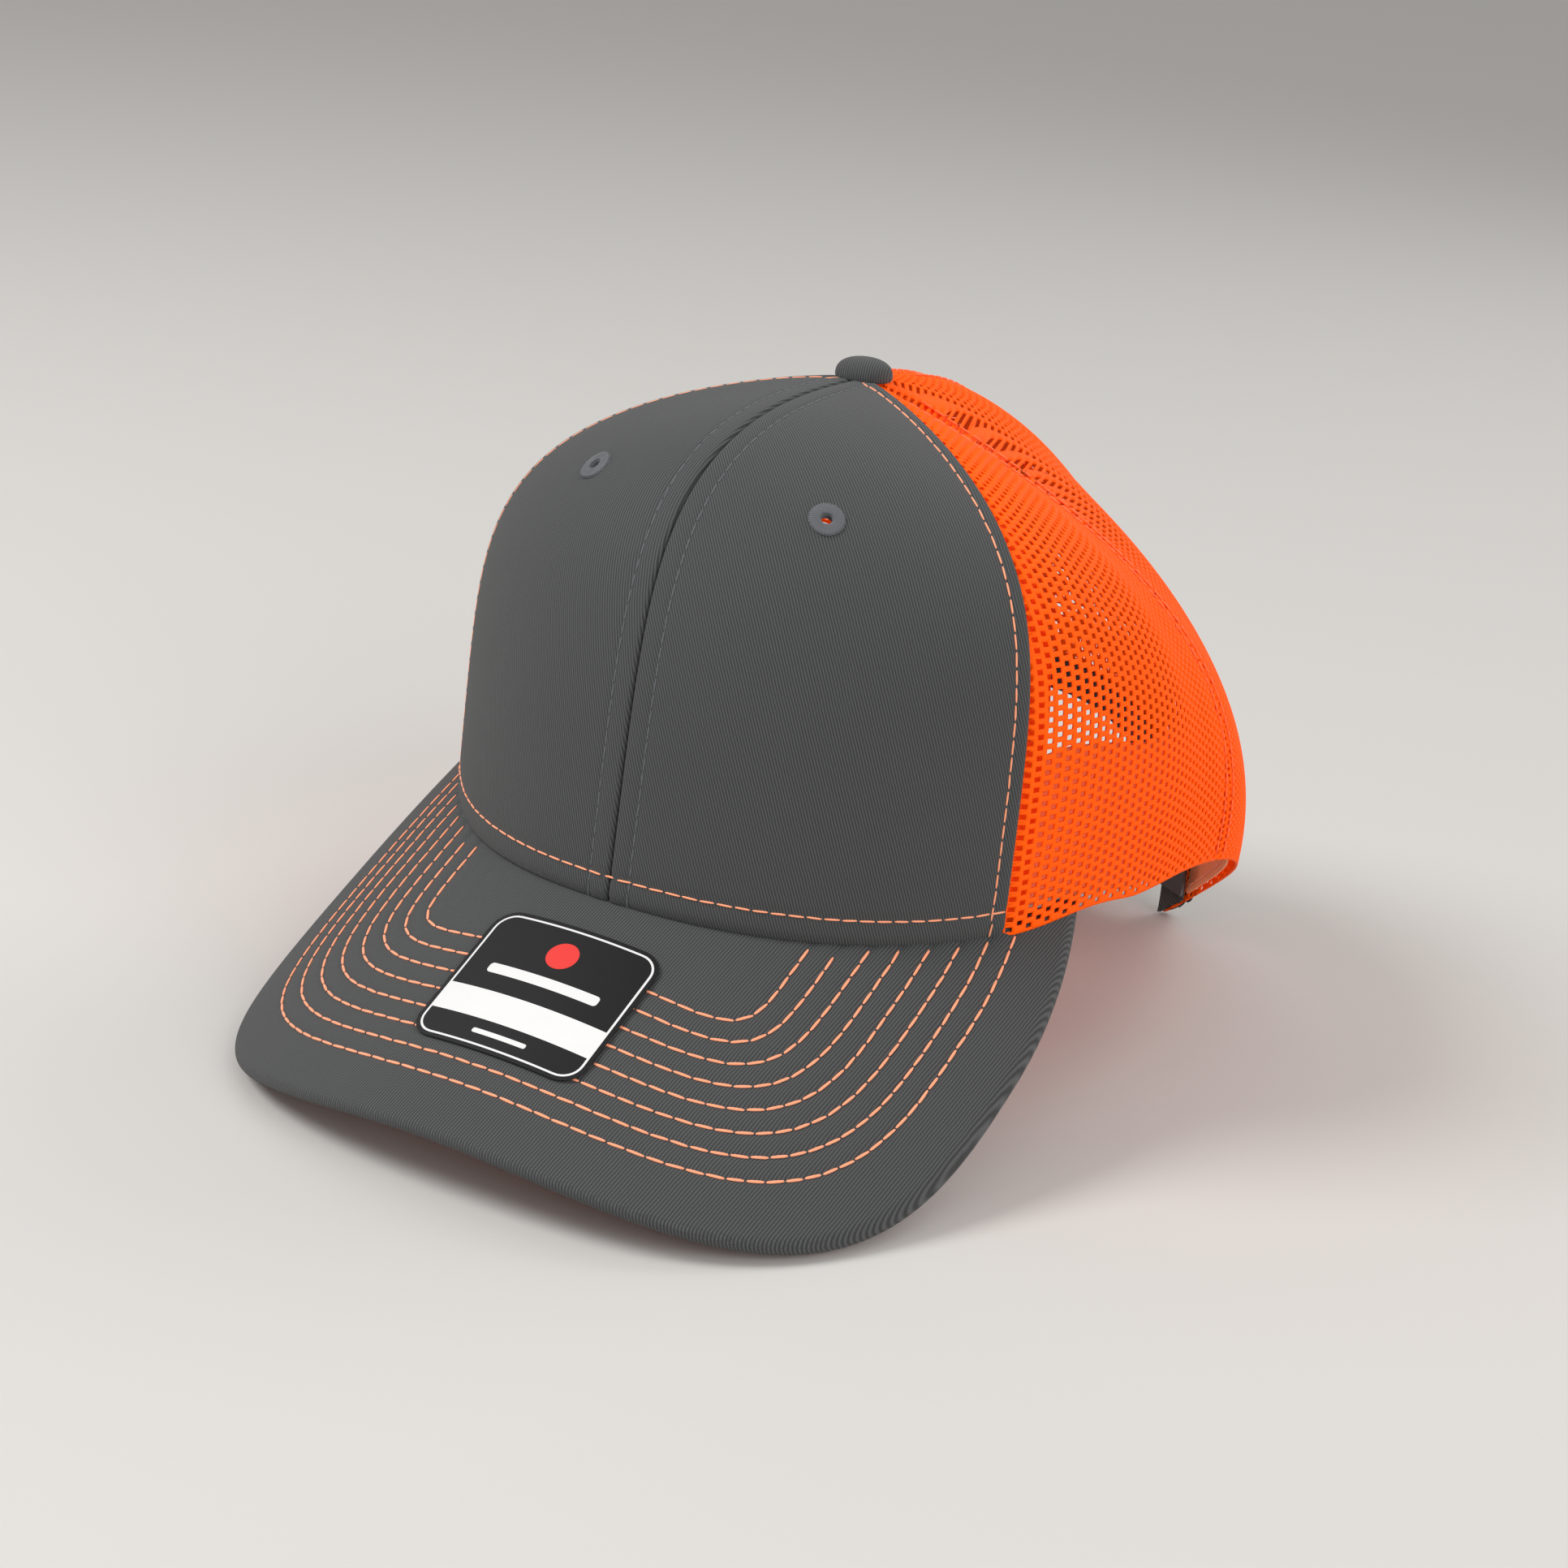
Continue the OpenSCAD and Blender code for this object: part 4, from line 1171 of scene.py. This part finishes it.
def make_sticker():
    bm = rounded_plate(STICKER_WIDE, STICKER_LONG, STICKER_CORNER, (0, STICKER_MID))
    for thickness, ring_material in ((0.9 * MM, BLACK), (0.45 * MM, WHITE)):
        core = [f for f in bm.faces if f.material_index == BLACK and len(f.verts) > 4]
        core = core or bm.faces[:]
        ring = bmesh.ops.inset_region(bm, faces=core, thickness=thickness, use_even_offset=True,
                                       use_boundary=True)["faces"]
        for face in ring:
            face.material_index = ring_material
    inner = STICKER_WIDE / 2 - 1.36 * MM
    band = (STICKER_MID + 3.2 * MM, STICKER_MID + 10.0 * MM)
    cut_across(bm, 1, band)
    for face in bm.faces:
        c = face.calc_center_median()
        if band[0] < c.y < band[1] and abs(c.x) < inner - 0.1 * MM:
            face.material_index = WHITE
    bar = rounded_plate(25 * MM, 2.4 * MM, 0.8 * MM, (0, STICKER_MID - 2.2 * MM))
    foot = rounded_plate(12 * MM, 1.1 * MM, 0.4 * MM, (0, STICKER_MID + 12.9 * MM))
    dot = bmesh.new()
    bmesh.ops.create_circle(dot, cap_ends=True, segments=32, radius=3.3 * MM)
    bmesh.ops.translate(dot, vec=(0, STICKER_MID - 9.3 * MM, 0), verts=dot.verts[:])
    for part, colour in ((bar, WHITE), (foot, WHITE), (dot, RED)):
        for face in part.faces:
            face.material_index = colour
        bmesh.ops.translate(part, vec=(0, 0, 0.03 * MM), verts=part.verts[:])
        spare = mesh_from(part, "label_mark")
        bm.from_mesh(spare)
        bpy.data.meshes.remove(spare)
    cut_across(bm, 0, np.arange(-18, 18.1, 1.5) * MM)
    flat = np.array([v.co for v in bm.verts])
    points = np.stack([on_visor(np.array(x), np.array(y), STICKER_LIFT + z) for x, y, z in flat])
    lay(bm, points, flat[:, :2])
    piece = add_piece(bm, "visor_sticker_label", [label_black, label_white, label_red],
                      ["visor_sticker"], 0.15 * MM, centre=BELOW_VISOR)
    for face in piece.data.polygons:
        face.use_smooth = False


make_sticker()

# %% [markdown]
# ## Sweatband and its pad
# The sweatband is a doubled strip of cotton that stands inside the hem. Through the mesh it shows
# as a paler band. Behind the front panels a thin foam pad keeps it off the buckram. Both follow
# the hem.

# %% Sweatband
BAND_END = 180 - ARCH_ANGLE - 6
BAND_HEIGHT, BAND_STITCH = 32 * MM, 2.6 * MM
BAND_MESH, BAND_SEAM, BAND_FRONT = 2.1 * MM, 2.9 * MM, 4.2 * MM


def band_inset(a):
    a = np.abs(a)
    return (BAND_MESH + (BAND_SEAM - BAND_MESH) * (1 - smooth((a - FRONT_SEAM - 8) / 8))
            + (BAND_FRONT - BAND_SEAM) * (1 - smooth((a - FRONT_SEAM + 8) / 5)))


def band_point(a, rise, deeper=0.0):
    inset = band_inset(a) + deeper
    z = hem_height(np.abs(a), inset) + rise
    return mirrored(wall_point(np.abs(a), z, inset), np.sign(a) + (a == 0))


def level_out(points):
    """The level direction from the middle of the cap to each point."""
    return points * np.array([1, 1, 0]) / np.hypot(points[:, 0], points[:, 1])[:, None]


def signed_round(a):
    return np.sign(a) * round_at(a)


bm, gu, gv = flat_grid(300, 24)
a = (gu * 2 - 1) * BAND_END
rise = 0.9 * MM + (BAND_HEIGHT - 0.9 * MM) * gv
ease = 0.25 * MM * (1 + np.sin(a * 0.21)) * gv + 0.35 * MM * dip(rise - BAND_STITCH, 0.8 * MM)
ease -= 0.25 * MM * dip(rise - BAND_HEIGHT, 1.2 * MM)
lay(bm, band_point(a, rise, ease), np.stack([signed_round(a), rise], -1))
add_sheet(bm, "sweatband_cotton", band_cotton, "band", ["sweatband"], 0.7 * MM, held="folded")

bm = bmesh.new()
a = np.linspace(-BAND_END + 0.5, BAND_END - 0.5, 700)
points = band_point(a, BAND_STITCH, 0.7 * MM + 0.35 * MM + 0.1 * MM)
stitch_row(bm, points, -level_out(points), pitch=3.4 * MM, width=0.45 * MM, height=0.4 * MM)
thread_piece(bm, "sweatband_thread", contrast)

# %% Pad
PAD_END, PAD_TOP = FRONT_SEAM - 11, 2.95 * MM
bm, gu, gv = flat_grid(80, 16)
a = (gu * 2 - 1) * PAD_END
rise = (2 + 27 * gv) * MM
z = hem_height(np.abs(a), PAD_TOP) + rise
points = mirrored(wall_point(np.abs(a), z, PAD_TOP), np.sign(a) + (a == 0))
lay(bm, points, np.stack([signed_round(a), rise], -1))
piece = add_piece(bm, "sweatband_pad_foam", foam, ["sweatband_pad"], 0.9 * MM)

# %% [markdown]
# ## Arch binding
# The cut edge of the mesh over the adjuster is bound with a strip of twill folded round it. Its
# grid runs along the arch and, across, down the outside, round the edge and up the inside.

# %% Binding
BIND_WIDTH, BIND_OUT, BIND_IN = 8 * MM, 1.1 * MM, 1.9 * MM
BIND_STITCH = 6.4 * MM
BIND_FLAT = (0.165, 0.018)
FOLD_FROM, FOLD_TO = 0.42, 0.58


def arch_angle_at(s, out):
    return 180 - (ARCH_ANGLE + np.degrees(out / REAR_DEPTH)) * np.cos(s) ** (2 / ARCH_SQUARE)


def arch_height_at(s, out):
    return (ARCH_HEIGHT + out) * np.sin(s) ** (2 / ARCH_SQUARE)


def arch_point(s, out, inset):
    """A point by its turn round the arch, its distance from the edge and its depth."""
    q = np.clip(np.pi / 2 - np.abs(np.pi / 2 - s), 0, np.pi / 2)
    a = np.clip(arch_angle_at(q, out), 0, 180)
    z = np.maximum(arch_height_at(q, out), hem_height(a, inset) + 0.2 * MM)
    return mirrored(wall_point(a, z, inset), np.where(s > np.pi / 2, -1.0, 1.0))


bm, gu, gv = flat_grid(200, 28)
s = gu * np.pi
fold = np.clip((gv - FOLD_FROM) / (FOLD_TO - FOLD_FROM), 0, 1) * np.pi
out = np.where(gv < FOLD_FROM, BIND_WIDTH * (1 - gv / FOLD_FROM), np.where(
    gv > FOLD_TO, BIND_WIDTH * (gv - FOLD_TO) / FOLD_FROM, -0.9 * MM * np.sin(fold)))
middle, reach = (BIND_IN - BIND_OUT) / 2, (BIND_IN + BIND_OUT) / 2
depth = middle - reach * np.cos(fold)
depth += np.where(gv < 0.5, 1, -1) * (0.35 * MM * dip(out - BIND_STITCH, 0.8 * MM)
                                      + 0.45 * MM * dip(out - BIND_WIDTH, 0.7 * MM))
lay(bm, arch_point(s, out, depth), np.stack([gu, gv], -1) * BIND_FLAT)
piece = add_piece(bm, "arch_binding_cloth", twill, ["arch_binding"], 0.45 * MM,
                  centre=None)

bm = bmesh.new()
s = np.linspace(0.25, np.pi - 0.25, 400)
for inset, way in ((-BIND_OUT + 0.35 * MM, 1), (BIND_IN - 0.35 * MM, -1)):
    points = arch_point(s, BIND_STITCH, inset)
    stitch_row(bm, points, way * level_out(points), pitch=3.2 * MM, width=0.42 * MM,
               height=0.36 * MM)
thread_piece(bm, "arch_binding_thread", tonal)

# %% [markdown]
# ## Hard parts
# The board, the button's shell and washer, and the snap straps are moulded or pressed parts. Their
# CAD shapes are right as they are, so they only get their finishes.

# %% Finishes of the hard parts
for names, finish in ((("visor_board",), board), (("button_shell", "button_washer"), steel),
                      (("hole_strap", "hole_strap_root", "peg_strap", "peg_strap_root"),
                       snap_plastic)):
    for name in names:
        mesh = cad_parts[name].data
        mesh.materials.clear()
        mesh.materials.append(finish)
bpy.data.meshes.remove(GRAIN)

# %% [markdown]
# ## Studio
# A plain pale floor and soft area lights: a key from the upper left, a broad fill from the right
# and a light from behind that separates the crown from the floor and shines through the mesh.

# %% Floor and lights
def plain_material(name, colour, rough):
    made = bpy.data.materials.new(name)
    made.use_nodes = True
    shader = made.node_tree.nodes["Principled BSDF"]
    shader.inputs["Base Color"].default_value = (*colour, 1)
    shader.inputs["Roughness"].default_value = rough
    return made


floor_bm = bmesh.new()
bmesh.ops.create_grid(floor_bm, x_segments=1, y_segments=1, size=12)
floor = put_in_scene("floor", mesh_from(floor_bm, "floor"))
floor.data.materials.append(plain_material("floor_paint", (0.56, 0.55, 0.53), 0.8))
floor.location.z = -0.2 * MM


LIGHT_AIM = Vector((0, 0, 0.06))


def soft_light(name, place, size, power):
    data = bpy.data.lights.new(name, "AREA")
    data.shape, data.size, data.energy = "DISK", size, power
    lamp = put_in_scene(name, data)
    lamp.location = place
    lamp.rotation_euler = (LIGHT_AIM - Vector(place)).to_track_quat("-Z", "Y").to_euler()


soft_light("key", (-0.85, -0.75, 1.15), 0.7, 17)
soft_light("fill", (1.3, -0.7, 0.8), 1.2, 13)
soft_light("back", (0.5, 1.3, 1.2), 0.9, 7)
world = bpy.data.worlds.new("studio")
bpy.context.scene.world = world
world.use_nodes = True
sky = world.node_tree.nodes["Background"].inputs
sky["Color"].default_value = (1.0, 0.98, 0.96, 1)
sky["Strength"].default_value = 0.55
bpy.context.scene.view_settings.view_transform = "Standard"

# %% Camera
CAMERA_PLACE, LENS = (0.2794, -0.5486, 0.2467), 67.93
YAW, PITCH, ROLL = math.radians(28.15), math.radians(-18.25), math.radians(6.32)
forward = Vector((-math.sin(YAW) * math.cos(PITCH), math.cos(YAW) * math.cos(PITCH),
                  math.sin(PITCH)))
level = Vector((math.cos(YAW), math.sin(YAW), 0))
upward = level.cross(forward)
right = level * math.cos(ROLL) + upward * math.sin(ROLL)
upright = upward * math.cos(ROLL) - level * math.sin(ROLL)
camera = put_in_scene("camera", bpy.data.cameras.new("camera"))
camera.data.sensor_width, camera.data.lens = 36.0, LENS
camera.data.clip_start, camera.data.clip_end = 0.01, 20
turned = Matrix((right, upright, -forward)).transposed().to_4x4()
camera.matrix_world = Matrix.Translation(CAMERA_PLACE) @ turned
bpy.context.scene.camera = camera
